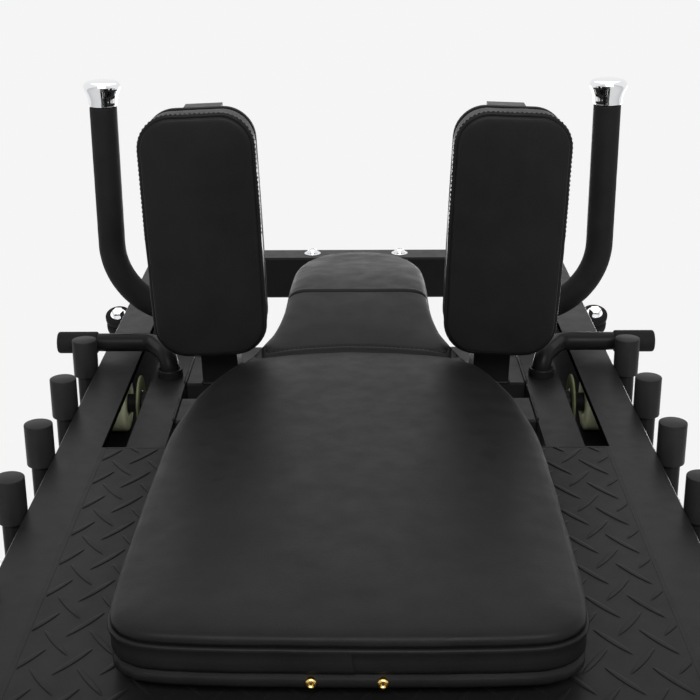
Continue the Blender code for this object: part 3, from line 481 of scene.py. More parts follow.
def catmull(points, count):
    """A smooth open curve through points, as count + 1 points evenly spaced."""
    points = np.asarray(points, float)
    padded = np.vstack([2 * points[0] - points[1], points, 2 * points[-1] - points[-2]])
    fine = []
    for a, b, c, d in zip(padded, padded[1:], padded[2:], padded[3:]):
        for t in np.linspace(0, 1, 24, endpoint=False):
            fine.append(0.5 * (2 * b + (c - a) * t + (2 * a - 5 * b + 4 * c - d) * t * t
                               + (3 * b - a - 3 * c + d) * t ** 3))
    fine.append(points[-1])
    return resample(np.array(fine), count)


def rounded_sides(half, length, corner, columns, rows, swell=0.0):
    """Low, right, high and left side of a rounded rectangle, split at the middles of its corners."""
    def arc(x, y, start):
        return [(x + corner * cos(start + pi / 2 * i / 16), y + corner * sin(start + pi / 2 * i / 16))
                for i in range(17)]

    x, y = half - corner, length / 2 - corner
    arcs = [arc(x, -y, -pi / 2), arc(x, y, 0), arc(-x, y, pi / 2), arc(-x, -y, pi)]
    low = resample(arcs[3][8:] + arcs[0][:9], columns)
    right = resample(arcs[0][8:] + arcs[1][:9], rows)
    high = resample((arcs[1][8:] + arcs[2][:9])[::-1], columns)
    left = resample((arcs[2][8:] + arcs[3][:9])[::-1], rows)
    for side, sign in ((right, 1), (left, -1)):
        side[:, 0] += sign * swell * np.cos(pi * side[:, 1] / length)
    return low, right, high, left


def rows_between(low, right, high, left, reach=0.06):
    """A grid of points inside four sides; the curve of the ends dies away over reach."""
    height, across = distances(right), distances(low)
    u = (across / across[-1])[:, None]
    grid = left[:, None, :] * (1 - u) + right[:, None, :] * u
    for end, away in ((low, height), (high, height[-1] - height)):
        share = np.clip(1 - away / reach, 0, 1) ** 2
        grid += share[:, None, None] * (end - (end[0] * (1 - u) + end[-1] * u))
    return grid


def ripples(places, *waves):
    """Smooth noise along a seam, from waves of (share, scale, height, seed)."""
    return np.array([sum(share * noise_at(place * scale, height * 60, seed)
                         for share, scale, height, seed in waves) for place in places])


def clouds(flat, across, up, seed):
    """Smooth noise at each point of a panel."""
    return np.array([noise_at(x * across, y * up, seed) for x, y in flat])


def pad_mesh(name, sides, section, panel, matrix, creases=0.0005, seed=0.0, lip=LIP, side_form=None,
             bend=None):
    """A pad: section holds (inset, height) from base to seam, and panel gives the top's height."""
    low, right, high, left = sides
    rows, columns = len(right) - 1, len(low) - 1
    loop = np.vstack([low, right[1:-1], high[::-1], left[1:-1][::-1]])
    out = outward(loop)
    places, _ = along(loop)
    size = len(loop)
    points = []
    for inset, height in section:
        wave = ripples(places, (1, 26, height, seed), (0.6, 90, height * 0.3, seed + 5))
        wave *= creases if height > 1e-4 else 0
        flat = loop - out * (inset + wave)[:, None]
        if side_form is not None:
            flat = side_form(loop, out, flat, height)
        points.append(np.column_stack([flat, np.full(size, height)]))
    for inset in (lip, lip + 0.001, lip + 0.0027):
        flat = loop - out * inset
        points.append(np.column_stack([flat, panel(flat, np.full(size, inset))]))
    rings = len(points)
    start = rings * size
    inner = loop - out * (lip + 0.005)
    corner, far_corner = columns + rows, 2 * columns + rows
    grid = rows_between(inner[:columns + 1], inner[columns:corner + 1], inner[corner:far_corner + 1][::-1],
                        np.vstack([inner[far_corner:], inner[:1]])[::-1])
    if bend is not None:
        grid = bend(grid)
    flat = grid.reshape(-1, 2)
    points.append(np.column_stack([flat, panel(flat, segment_distance(flat, loop))]))
    spots = start + np.arange(len(flat)).reshape(rows + 1, columns + 1)
    border = [int(v) for v in (*spots[0, :-1], *spots[:-1, -1], *spots[-1, :0:-1], *spots[:0:-1, 0])]
    pairs = [(i, (i + 1) % size) for i in range(size)]
    faces = [(r + i, r + j, r + size + j, r + size + i)
             for r in range(0, start - size, size) for i, j in pairs]
    faces += [(start - size + i, start - size + j, border[j], border[i]) for i, j in pairs]
    cells = np.stack([spots[:-1, :-1], spots[:-1, 1:], spots[1:, 1:], spots[1:, :-1]], axis=-1)
    faces += cells.reshape(-1, 4).tolist()
    faces.append(list(range(size))[::-1])
    mesh = bpy.data.meshes.new(name)
    mesh.from_pydata([matrix @ Vector(point) for point in np.vstack(points)], [], faces)
    mesh.update()
    return mesh, loop, out, start, flat


def inflate(obj, start, held):
    """Swells a pad's panel by cloth simulation with its sewn lines held, and applies the result."""
    mesh = obj.data
    group = obj.vertex_groups.new(name="held")
    group.add(list(range(start)) + [int(start + i) for i in np.flatnonzero(held)], 1.0, "REPLACE")
    cloth = obj.modifiers.new("cloth", "CLOTH")
    cloth.settings.vertex_group_mass = "held"
    cloth.settings.use_pressure = True
    cloth.settings.uniform_pressure_force = SWELL_PRESSURE
    cloth.settings.effector_weights.gravity = 0
    cloth.point_cache.frame_start = 1
    cloth.point_cache.frame_end = SWELL_FRAMES
    scene = bpy.context.scene
    for step in range(1, SWELL_FRAMES + 1):
        scene.frame_set(step)
    swollen = obj.evaluated_get(bpy.context.evaluated_depsgraph_get()).data
    before, after = (np.empty(len(mesh.vertices) * 3) for _ in range(2))
    mesh.vertices.foreach_get("co", before)
    swollen.vertices.foreach_get("co", after)
    obj.modifiers.remove(cloth)
    obj.vertex_groups.remove(group)
    scene.frame_set(1)
    move = (after - before).reshape(-1, 3)
    length = np.linalg.norm(move, axis=1, keepdims=True)
    capped = before.reshape(-1, 3) + move * SWELL_CAP / (SWELL_CAP + length)
    mesh.vertices.foreach_set("co", capped.ravel())
    mesh.update()


def stitch_row(shape, stitches, length=0.0028, radius=0.00034):
    """Adds short thread stitches from (centre, ahead, up): slim capsules sunk halfway into the surface."""
    outline = ((-0.5, 0.25), (-0.36, 0.85), (0.0, 1.0), (0.36, 0.85), (0.5, 0.25))
    for centre, ahead, up in stitches:
        across = ahead.cross(up).normalized()
        rings = []
        for share, size in outline:
            middle = centre + ahead * (share * length) + up * (radius * 0.25 * (1 - abs(share)))
            rings.append(add_ring(shape, middle, across, up, radius * size, 6))
        join_rings(shape, rings, capped=True)


def stitches_round(shape, loop, out, inset, height, matrix, tilt, bare=0.0):
    """Adds stitches round a pad at an inset and height of its side, but none where y is under bare."""
    pitch = 0.0048
    places, total = along(loop - out * inset)
    count = int(total // pitch)
    ends = np.append(places, total)
    path, turned = (np.vstack([line, line[:1]]) for line in (loop - out * inset, out))

    def spot(where, line):
        return [np.interp(where, ends, line[:, k]) for k in range(2)]

    turn = matrix.to_3x3()
    stitches = []
    for i in range(count):
        where = total * (i + 0.5) / count
        here, near, side = spot(where, path), spot(where - 0.001, path), spot(where, turned)
        if here[1] < bare:
            continue
        ahead = turn @ Vector((here[0] - near[0], here[1] - near[1], 0))
        up = turn @ (Vector((*side, 0)) * cos(tilt) + Vector((0, 0, sin(tilt))))
        stitches.append((matrix @ Vector((*here, height)), ahead.normalized(), up.normalized()))
    stitch_row(shape, stitches)


def rolled(distance, crown, width, power, lift=0.0035, lip=LIP):
    """Height above the seam of a panel that rolls over its edge, at a distance from it."""
    share = np.clip((distance - lip) / width, 0, 1)
    return lift + (crown - lift) * (1 - (1 - share) ** power) ** (1 / power)


def side_section(band, seam, board=0.0, lip=LIP):
    """Inset and height pairs of a pad's side, from its base to the seam under its panel."""
    depth = seam - band
    low = [(0.014, board), (0.005, board + 0.0001), (0.0022, board + 0.0012)]
    if band > board + 0.004:
        low += [(0.0008, board + 0.0042), (0.0014, band - 0.0026), (0.0038, band - 0.0005),
                (0.0038, band + 0.0005), (0.0014, band + 0.0021)]
    return low + [(0.0002, band + 0.25 * depth), (0.0006, band + 0.5 * depth), (0.0004, band + 0.72 * depth),
                  (-0.0006, seam - 0.0032), (-0.0011, seam - 0.0017), (-0.0006, seam - 0.0003),
                  (0.0014, seam + 0.0003), (lip + 0.002, seam - 0.0006), (lip + 0.0014, seam + 0.0012),
                  (lip + 0.0002, seam + 0.0026)]


# Back pad

PAD_SEAM = 0.033
PAD_BAND = 0.0113
PAD_PLAN = ((0.16, 0.648), (0.1682, 0.66), (0.1718, 0.68), (0.1732, 0.72), (0.1735, 0.794),
            (0.1728, 0.9), (0.171, 0.98), (0.1645, 1.035), (0.1565, 1.083), (0.136, 1.15),
            (0.11, 1.205), (0.099, 1.237), (0.092, 1.262), (0.0855, 1.31), (0.0835, 1.365),
            (0.0832, 1.395), (0.08, 1.48), (0.0685, 1.54), (0.05, 1.579))
PAD_FRONT = ((0.16, 0.648), (0.148, 0.6403), (0.132, 0.6362), (0.1, 0.6338), (0.05, 0.6325))
PAD_HEAD = ((0.05, 1.579), (0.038, 1.5885), (0.024, 1.5955), (0.011, 1.599))
PAD_CROWN = ((0.6, 0.014), (1.096, 0.014), (1.146, 0.0132), (1.181, 0.011), (1.204, 0.0078),
             (1.215, 0.0056), (1.225, 0.0088), (1.237, 0.0128), (1.26, 0.0174), (1.29, 0.0226),
             (1.325, 0.0284), (1.365, 0.0328), (1.395, 0.032), (1.44, 0.0272), (1.48, 0.0224),
             (1.545, 0.0132), (1.58, 0.0094), (1.61, 0.0075))
PAD_TURN = shift(0, 1.1, PAD_BOTTOM) @ spin(-0.62, "Z") @ shift(0, -1.1, 0)
CREASE_S = 1.215
CREASE_BOW = 2.0
CREASE_REACH = 0.06
CREASE_STITCH = 0.0098
HEAD_SEAM_S = 1.349
FRONT_SEAM_X = 0.0015


def crease_line(x):
    """Where the deep crease below the head runs, as a place up the slope."""
    return CREASE_S - CREASE_BOW * x * x


def crease_share(s):
    """How closely a row follows the crease's bow."""
    return np.clip(1 - np.abs(s - CREASE_S) / CREASE_REACH, 0, 1)


def hump(off, width):
    """A soft ridge at a distance from its line."""
    return np.exp(-(off / width) ** 2)


def cut(off, width):
    """A sharp groove at a distance from its line."""
    return np.exp(-np.abs(off) / width)


def pad_top(flat, distance):
    """Height of the back pad's panel above the pad's base."""
    x, s = flat[:, 0], flat[:, 1]
    crown = np.interp(s + CREASE_BOW * x * x * crease_share(s), *np.array(PAD_CROWN).T)
    width = np.interp(s, (0.66, 0.72, 1.15, 1.27), (0.04, 0.052, 0.052, 0.038))
    power = np.interp(s, (1.15, 1.27), (2.4, 3.6))
    height = PAD_SEAM + rolled(distance, crown, width, power)
    inside = np.clip(distance / 0.006, 0, 1)
    off = s - crease_line(x)
    seam = s - HEAD_SEAM_S
    height += inside * (0.0008 * hump(off - 0.0052, 0.0028) - 0.0042 * cut(off, 0.0026)
                        - 0.0008 * hump(off - CREASE_STITCH, 0.0013) - 0.0026 * cut(seam, 0.0013)
                        + 0.0008 * hump(seam - 0.005, 0.003))
    wave, fine = clouds(flat, 14, 9, 3.1), clouds(flat, 45, 22, 7.7)
    calm = np.clip(distance / 0.03, 0, 1)
    return height + calm * (0.0007 * wave + 0.00012 * fine) + cut(off, 0.035) * inside * 0.0006 * fine


def pad_side(loop, out, flat, height):
    """Adds the overlapped seam in the middle of the pad's front boxing, and folds in its low band."""
    x, s = loop[:, 0], loop[:, 1]
    off = x - FRONT_SEAM_X
    front = s < 0.64
    flat = flat.copy()
    slant = 0.004 * np.clip((PAD_SEAM - height) / (PAD_SEAM - PAD_BAND), 0, 1)
    flat[front & (np.abs(off) < 0.006), 0] += slant
    if 0.0012 < height < PAD_BAND - 0.001:
        corner = hump(np.abs(x) - 0.15, 0.022) * (s < 0.7)
        fold = ripples(along(loop)[0], (1, 120, height * 0.2, 2.2), (0.5, 300, height * 0.2, 4.2))
        flat += out * ((0.0006 + 0.0016 * corner) * fold)[:, None]
    if PAD_BAND + 0.001 < height < PAD_SEAM - 0.0035:
        step = 0.0011 * cut(off, 0.016) * (front & (off < 0))
        dip = 0.0009 * cut(off, 0.004) * (front & (off > 0))
        flat += out * (step - dip)[:, None]
    return flat


def bend_rows(grid):
    """Lets the rows near the crease follow it."""
    grid = grid.copy()
    grid[..., 1] -= CREASE_BOW * grid[..., 0] ** 2 * crease_share(grid[..., 1])
    return grid


def pad_sides():
    """Low, right, high and left side of the back pad, closer together at its crease and seams."""
    plan = catmull(PAD_PLAN, 1200)
    stretches = ((0.648, 0.7, 0.005), (0.7, 1.15, 0.0125), (1.15, 1.198, 0.008),
                 (1.198, 1.232, 0.00125), (1.232, 1.339, 0.006), (1.339, 1.359, 0.0008),
                 (1.359, 1.545, 0.0075), (1.545, 1.579, 0.0045))
    places = np.concatenate([np.arange(*stretch) for stretch in stretches] + [[1.579]])
    width = np.interp(places, plan[:, 1], plan[:, 0])
    near_seam = 0.5 + np.array([-0.0055, -0.002, 0.0, 0.002, 0.0045, 0.0075, 0.01, 0.016])
    shares = np.unique(np.concatenate([np.linspace(0, 1, 45), near_seam]))
    ends = []
    for half, tip in ((PAD_FRONT, 0.632), (PAD_HEAD, 1.6)):
        curve = catmull([(-x, y) for x, y in half] + [(0, tip)] + list(half[::-1]), 400)
        steps = np.linspace(0, 1, len(curve))
        ends.append(np.column_stack([np.interp(shares, steps, curve[:, k]) for k in range(2)]))
    return ends[0], np.column_stack([width, places]), ends[1], np.column_stack([-width, places])


def crease_stitches(loop, matrix):
    """Stitches along the crease, as (centre, ahead, up)."""
    count, reach = 46, 0.11
    turn = matrix.to_3x3()
    stitches = []
    for i in range(count):
        x = -reach + 2 * reach * (i + 0.5) / count
        spot = np.array([[x, crease_line(x) + CREASE_STITCH]])
        away = segment_distance(spot, loop)
        if away[0] < 0.004:
            continue
        rise = pad_top(spot + [[0, 0.004]], away)[0] - pad_top(spot - [[0, 0.004]], away)[0]
        stitches.append((matrix @ Vector((*spot[0], pad_top(spot, away)[0] + 0.0001)),
                         (turn @ Vector((1, -2 * CREASE_BOW * x, 0))).normalized(),
                         (turn @ Vector((0, -rise / 0.008, 1))).normalized()))
    return stitches


def back_pad():
    """The long pad with its head section, seams, stitching and vents."""
    matrix = SLOPE @ PAD_TURN
    section = side_section(PAD_BAND, PAD_SEAM)
    mesh, loop, out, start, flat = pad_mesh("back_pad_cover", pad_sides(), section, pad_top, matrix,
                                            creases=0.0006, seed=1.3, side_form=pad_side, bend=bend_rows)
    cover = add_piece("back_pad_cover", mesh, LEATHER, "sled", replaces=("back_pad",), padded=0.9, smooth=70)
    off = flat[:, 1] - crease_line(flat[:, 0])
    inflate(cover, start, (segment_distance(flat, loop) < 0.007) | ((off > -0.016) & (off < 0.014))
            | (np.abs(flat[:, 1] - HEAD_SEAM_S) < 0.0095))

    def sew(shape):
        stitches_round(shape, loop, out, -0.001, PAD_SEAM - 0.0025, matrix, 0.3, bare=0.655)
        stitch_row(shape, crease_stitches(loop, matrix), 0.0032, 0.0004)

    add_piece("back_pad_stitches", sew, THREAD, "sled")

    def vents(shape):
        profile = [(0, -0.002), (0.0043, -0.002), (0.0045, -0.0002), (0.0042, 0.001), (0.0034, 0.0019),
                   (0.0025, 0.0022), (0.0017, 0.0018), (0.0012, 0.0011), (0, 0.001)]
        for x in (-0.025, 0.025):
            lathe(shape, profile, matrix @ shift(x, 0.6331, 0.0058) @ FACE_DOWN_S, 28)

    add_piece("back_pad_vents", vents, BRASS, "sled")


# Shoulder pads, seat and back rest

def plain_pad(name, node, body, size, levels, matrix, board, seed, swell=0.0, grid=(30, 46), channels=(),
              width=0.05):
    """A rounded rectangular pad with a rolled panel, boxing, seams, a backing board and stitches on its
    upper half. size holds half width, length and corner radius; levels holds band, seam and crown."""
    band, seam, crown = levels
    lip = 0.0026

    def panel(flat, distance):
        height = seam + rolled(distance, crown, width, 2.2, lip=lip)
        inside = np.clip((distance - 0.004) / 0.01, 0, 1)
        for place in channels:
            off = flat[:, 1] - place
            height = height - inside * (0.0032 * cut(off, 0.003) + 0.003 * hump(off, 0.018))
        return height + 0.0005 * clouds(flat, 20, 14, seed) * np.clip(distance / 0.02, 0, 1)

    section = side_section(band, seam, board, lip)
    mesh, loop, out, start, flat = pad_mesh(f"{name}_cover", rounded_sides(*size, *grid, swell), section,
                                            panel, matrix, seed=seed + 2.0, lip=lip)
    cover = add_piece(f"{name}_cover", mesh, LEATHER, body, replaces=(node,), padded=0.9, smooth=70)
    held = segment_distance(flat, loop) < lip + 0.006
    for place in channels:
        held |= np.abs(flat[:, 1] - place) < 0.0065
    inflate(cover, start, held)

    def sew(shape):
        stitches_round(shape, loop, out, -0.0012, seam - 0.0022, matrix, 0.5)

    add_piece(f"{name}_stitches", sew, THREAD, body)

    def plate(shape):
        section = [(0.003, 0.0), (0.0014, 0.0002), (0.0006, 0.0012), (0.0006, board - 0.0014),
                   (0.0014, board - 0.0004), (0.003, board - 0.0002)]
        rings = [[shape.verts.new(matrix @ Vector((*point, height))) for point in loop - out * inset]
                 for inset, height in section]
        join_rings(shape, rings, capped=True)

    add_piece(f"{name}_board", plate, BOARD, body, smooth=30)


def shoulder_pads():
    """Two upright pads in front of their leaning posts."""
    middle = 0.1775
    for side, sign in SIDES:
        matrix = at(sign * (SHOULDER_X + tan(radians(SHOULDER_LEAN)) * middle), 1.2475, middle,
                    spin(sign * SHOULDER_LEAN, "Y") @ FACE_DOWN_S)
        plain_pad(f"{side}_shoulder", f"{side}_shoulder_pad", "sled", (0.0585, 0.256, 0.034),
                  (0.01, 0.051, 0.0065), matrix, board=0.009, swell=0.0008, width=0.036, seed=3.0 + sign)


def seat_pads():
    """Seat and back rest of the leg press, below the picture."""
    seat = shift(0, -0.36, 0.205) @ spin(20, "X")
    plain_pad("seat", "seat_cushion", "frame", (0.16, 0.3, 0.04), (0.012, 0.045, 0.0105), seat,
              board=0.01, grid=(40, 40), seed=5.0)
    rest = BACK_REST @ shift(0, 0.425, -0.0203) @ spin(180, "Y")
    plain_pad("back_rest", "back_rest_cushion", "back_rest", (0.14, 0.55, 0.04), (0.012, 0.05, 0.0125),
              rest, board=0.01, grid=(36, 90), channels=(-0.09, 0.09), seed=8.0)


# Bent tubes, pegs, rollers and other turned parts

def handles():
    """Foam grips on bent steel, each with a flared chrome cap."""
    low, top, bend_radius = 0.0187, 0.2715, 0.086
    foam_x, foam_top, foam_step = 0.233, 0.2712, 0.004
    profile = [(0, 0.0001), (0.0158, 0.0001), (0.0166, 0.001), (0.0168, 0.006), (0.0174, 0.0105),
               (0.0188, 0.0145), (0.0205, 0.0178), (0.0215, 0.0205), (0.0217, 0.0225), (0.0212, 0.0248),
               (0.0198, 0.0268), (0.0175, 0.028), (0.014, 0.0287), (0.007, 0.029), (0, 0.0291)]
    for side, sign in SIDES:
        outer, foot = sign * HANDLE_X, sign * TUBE_X
        corners = [(sign * 0.1915, HANDLE_S, low), (outer, HANDLE_S, low), (outer, HANDLE_S, top)]
        bend = rounded_path(corners, bend_radius, radians(4))

        def steel(shape):
            sweep(shape, bend, 0.0125, SLOPE, 32, cap_round=0.0008)
            block(shape, (foot - 0.0112, HANDLE_S - 0.0155, -0.0051),
                  (foot + 0.0112, HANDLE_S + 0.0155, 0.0168))
            weld_round(shape, (foot - 0.0114, HANDLE_S - 0.0157), (foot + 0.0114, HANDLE_S + 0.0157), -0.0047)
            for s in (HANDLE_S - 0.0105, HANDLE_S + 0.0105):
                weld_bead(shape, [(foot - 0.0105, s, 0.0163), (foot + 0.0105, s, 0.0163)], radius=0.0016)

        add_piece(f"{side}_handle_tube", steel, PAINT, "sled", replaces=(f"{side}_handle",))
        start = next(i for i, point in enumerate(bend) if abs(point.x) > foam_x)
        path = bend[start:-1] + [Vector((outer, HANDLE_S, foam_top))]
        fine = [path[0]]
        for near, far in zip(path, path[1:]):
            steps = max(1, ceil((far - near).length / foam_step))
            fine += [near.lerp(far, i / steps) for i in range(1, steps + 1)]

        def foam(shape):
            radii = [0.016 + 0.00012 * noise_at(i * 0.31, sign, 4.0) for i in range(len(fine))]
            sweep(shape, fine, radii, SLOPE, 36, cap_round=0.0016)

        add_piece(f"{side}_grip", foam, FOAM, "sled")
        add_turned(f"{side}_grip_cap", profile, CHROME, "sled", at(outer, HANDLE_S, 0.2722), 56,
                   replaces=(f"{side}_handle_cap",))


def lock_arms():
    """Lock arms with their rubber ends, and the split collars in which they turn."""
    reach = LOCK_ARM_S - LOCK_S
    low, high = 0.298 - TUBE_X, 0.344 - TUBE_X
    rubber_end = [(0, low), (0.0106, low), (0.0121, low + 0.0006), (0.0125, low + 0.002),
                  (0.0125, high - 0.0024), (0.0121, high - 0.0008), (0.011, high), (0.0078, high + 0.0002),
                  (0.0074, high - 0.0008), (0, high - 0.0008)]
    collar = [(0.0109, -0.003), (0.0136, -0.003), (0.014, -0.0022), (0.014, 0.0016), (0.0134, 0.0024),
              (0.0114, 0.0024), (0.0109, 0.0018), (0.0109, -0.003)]
    for side, sign in SIDES:
        place = at(sign * TUBE_X, LOCK_S, 0)
        corners = [(0, 0, -0.064), (0, 0, LOCK_ARM_N), (sign * 0.0265, reach, LOCK_ARM_N),
                   (sign * 0.1335, reach, LOCK_ARM_N)]
        path = rounded_path(corners, 0.0165)

        def arm(shape):
            sweep(shape, path, 0.0105, place, 28, cap_round=0.0012)

        body = f"{side}_lock_arm"
        add_piece(f"{side}_lock_rod", arm, PAINT, body, replaces=(body,))
        add_turned(f"{side}_lock_end", rubber_end, RUBBER, body,
                   place @ shift(0, reach, LOCK_ARM_N) @ spin(90 * sign, "Y"), 36)
        add_turned(f"{side}_lock_collar", collar, PAINT, "sled", place @ shift(0, 0, 0.0012), 40)


def rollers():
    """Cream tyres on black hubs that turn on their axles, each with a slim disc on its near side; web and
    disc carry a darkened colour as painted shade.
    """
    tyre = there_and_back([(0.0152, 0.0004), (0.016, 0.0), (0.03, 0.0), (0.0315, 0.0009), (0.0324, 0.0026),
                           (0.0325, 0.0045)], 0.258, 0.2853)
    web = there_and_back([(0.01, 0.0), (0.0153, 0.0)], 0.264, 0.284)
    disc = there_and_back([(0.0152, 0.0002), (0.0158, 0.0), (0.0306, 0.0), (0.0312, 0.0004),
                           (0.0314, 0.001)], 0.2434, 0.246)
    near, far = 0.243, 0.2852
    hub = [(0.0066, near + 0.0008), (0.0086, near), (0.015, near + 0.0002), (0.0154, near + 0.001),
           (0.0154, near + 0.0028), (0.0106, near + 0.0036), (0.0106, far - 0.001), (0.0098, far - 0.0003),
           (0.0086, far), (0.0066, far - 0.0008), (0.0066, near + 0.0008)]
    for side, sign in SIDES:
        for level, s in ROLLERS:
            place = at(0, s, AXLE_N, spin(90 * sign, "Y"))
            name = f"{side}_{level}_roller"
            add_turned(f"{name}_tyre", tyre, TYRE, name, place, 64, replaces=(name,))

            def core(shape):
                lathe(shape, web, place, 48)
                lathe(shape, disc, place, 64)

            # web and slim disc take the darkened core colour: the plastic's yellow-green tone plus painted
            # shade
            add_piece(f"{name}_core", core, SHADED_CORE, name)
            add_turned(f"{name}_hub", hub, PLUG, name, place, 40)


def stop_ladders():
    """Bars outside the rails with their stop pegs."""
    end = 0.034
    stem = [(0, -0.055), (0.0125, -0.055), (0.0122, -0.0535), (0.0108, -0.052), (0.01, -0.05),
            (0.01, -0.011), (0, -0.011)]
    sleeve = [(0, -0.012), (0.0127, -0.012), (0.0136, -0.0116), (0.014, -0.0106), (0.014, 0.0299),
              (0.0137, 0.0306), (0.0129, 0.031), (0, 0.031)]
    for side, sign in SIDES:
        def ladder(shape):
            block(shape, (sign * (RAIL_OUTER + 0.0003), PEGS[-1] - end, -0.0766),
                  (sign * 0.3228, PEGS[0] + end, -0.0546), bevel=0.002, segments=3)
            for s in PEGS:
                lathe(shape, stem, at(sign * PEG_X, s, 0), 32)

        def sleeves(shape):
            for s in PEGS:
                lathe(shape, sleeve, at(sign * PEG_X, s, 0), 44)

        add_piece(f"{side}_stop_pegs", ladder, PAINT, "frame", replaces=(f"{side}_stop_ladder",))
        add_piece(f"{side}_peg_sleeves", sleeves, SLEEVE, "frame")


# Tread deck

TREAD_LEAN = radians(34.5)
TREAD_PITCH = (0.0347, 0.0518)
LUG_HALF_LENGTH = 0.0235
LUG_HALF_WIDTH = 0.0027
LUG_HEIGHT = 0.0008
LUG_ROOT = -0.0004


def lug(shape, middle, lean):
    """Adds one raised lens of the tread pattern, on its plate's face."""
    ahead = Vector((sin(lean), cos(lean), 0))
    across = Vector((cos(lean), -sin(lean), 0))
    rings = []
    for i in range(11):
        t = -1 + 2 * i / 10
        wide = LUG_HALF_WIDTH * (1 - abs(t) ** 2.2)
        rise = LUG_HEIGHT * (1 - abs(t) ** 6)
        centre = Vector((*middle, 0)) + ahead * (t * LUG_HALF_LENGTH)
        outline = ((-1.0, LUG_ROOT), (-0.86, rise * 0.78), (-0.6, rise), (0.0, rise * 1.06), (0.6, rise),
                   (0.86, rise * 0.78), (1.0, LUG_ROOT))
        rings.append([shape.verts.new(centre + across * (wide * u) + Vector((0, 0, z)))
                      for u, z in (((0, LUG_ROOT),) if i in (0, 10) else outline)])
    join_rings(shape, rings)


def tread_pattern(name, body, matrix, low, high, origin):
    """Two families of raised lenses over a rectangle, trimmed at its edges."""
    first = [int((low[k] - origin[k]) / TREAD_PITCH[k]) - 2 for k in range(2)]
    last = [int((high[k] - origin[k]) / TREAD_PITCH[k]) + 3 for k in range(2)]
    spare = [0.6 * LUG_HALF_LENGTH * reach for reach in (sin(TREAD_LEAN), cos(TREAD_LEAN))]

    def build(shape):
        for i in range(first[0], last[0]):
            for j in range(first[1], last[1]):
                for share, lean in ((0.0, TREAD_LEAN), (0.5, -TREAD_LEAN)):
                    spot = [origin[k] + TREAD_PITCH[k] * (step + share) for k, step in enumerate((i, j))]
                    if all(low[k] - spare[k] < spot[k] < high[k] + spare[k] for k in range(2)):
                        lug(shape, spot, lean)
        bmesh.ops.recalc_face_normals(shape, faces=shape.faces)
        for point, normal in (((low[0], 0, 0), (-1, 0, 0)), ((high[0], 0, 0), (1, 0, 0)),
                              ((0, low[1], 0), (0, -1, 0)), ((0, high[1], 0), (0, 1, 0))):
            result = bmesh.ops.bisect_plane(shape, geom=shape.verts[:] + shape.edges[:] + shape.faces[:],
                                            plane_co=point, plane_no=normal, clear_outer=True)
            rim = [item for item in result["geom_cut"] if isinstance(item, bmesh.types.BMEdge)]
            bmesh.ops.holes_fill(shape, edges=rim, sides=0)

    mesh = mesh_from(build, name)
    mesh.transform(matrix)
    add_piece(name, mesh, PLATE_PAINT, body, smooth=50)


def tread_deck():
    """The deck's tread pattern and rolled upper edge, and the treads of press plate and foot boards."""
    half = 0.245
    tread_pattern("deck_tread", "sled", SLOPE, (-half, DECK_LOW + 0.002), (half, DECK_HIGH - 0.004),
                  (-0.241, 0.6824))

    def lip(shape):
        s, n = DECK_HIGH - 0.002, -0.00265
        sweep(shape, [(-0.248, s, n), (0.248, s, n)], 0.003, SLOPE, 24, cap_round=0.001)
        for _, sign in SIDES:
            block(shape, (sign * 0.2462, DECK_LOW + 0.001, -0.0002),
                  (sign * 0.251, DECK_HIGH - 0.001, 0.0002), bevel=0.0001, segments=1)

    add_piece("deck_lip", lip, PLATE_PAINT, "sled")
    tread_pattern("press_plate_tread", "sled", at(0, DECK_LOW - 0.006, 0, FACE_DOWN_S), (-0.2225, -0.427),
                  (0.2225, -0.0085), (-0.2082, -0.404))
    for side, sign in SIDES:
        tread_pattern(f"{side}_board_tread", "frame", foot_board(sign, z=0.003), (-0.09, -0.212),
                      (0.09, 0.212), (-0.0867, -0.2072))


# Fasteners, plugs and other small parts

def add_bolts(name, body, kind, size, places, material=ZINC):
    """Adds bolts or nuts of one kind and size as one piece."""
    def build(shape):
        for place in places:
            kind(shape, place, *size)

    add_piece(name, build, material, body, smooth=35)


def hardware():
    """Bolts and nuts."""
    add_bolts("crossbar_bolts", "frame", button_bolt, (0.008, 0.0058, 0.0118),
              [at(x, 1.7555, 0) for x in (-0.063, 0.063)], CHROME)
    for side, sign in SIDES:
        inward = spin(-90 * sign, "Y")
        add_bolts(f"{side}_axle_nuts", "sled", hex_bolt, (0.008, 0.006, 0.0115),
                  [at(sign * 0.19, s, AXLE_N, inward) for _, s in ROLLERS])
        leaned = spin(sign * SHOULDER_LEAN, "Y") @ ALONG_S
        add_bolts(f"{side}_pad_bolts", "sled", hex_bolt, (0.0058, 0.0042, 0.0082),
                  [at(sign * (SHOULDER_X + tan(radians(SHOULDER_LEAN)) * n) + x, 1.2547, n, leaned)
                   for n in (0.125, 0.253) for x in (-0.03, 0.03)])
        add_bolts(f"{side}_plate_bolts", "sled", button_bolt, (0.007, 0.004, 0.0095),
                  [at(sign * 0.195, DECK_LOW - 0.0063, n, FACE_DOWN_S) for n in (-0.045, -0.39)])
        add_bolts(f"{side}_board_bolts", "frame", button_bolt, (0.007, 0.004, 0.0095),
                  [foot_board(sign, sign * 0.01, y, 0.003) for y in (-0.155, 0.155)])
    add_bolts("pivot_nuts", "back_rest", hex_bolt, (0.0098, 0.0062, 0.0125),
              [shift(sign * 0.0336, *BACK_REST_PIVOT) @ spin(90 * sign, "Y") for _, sign in SIDES])


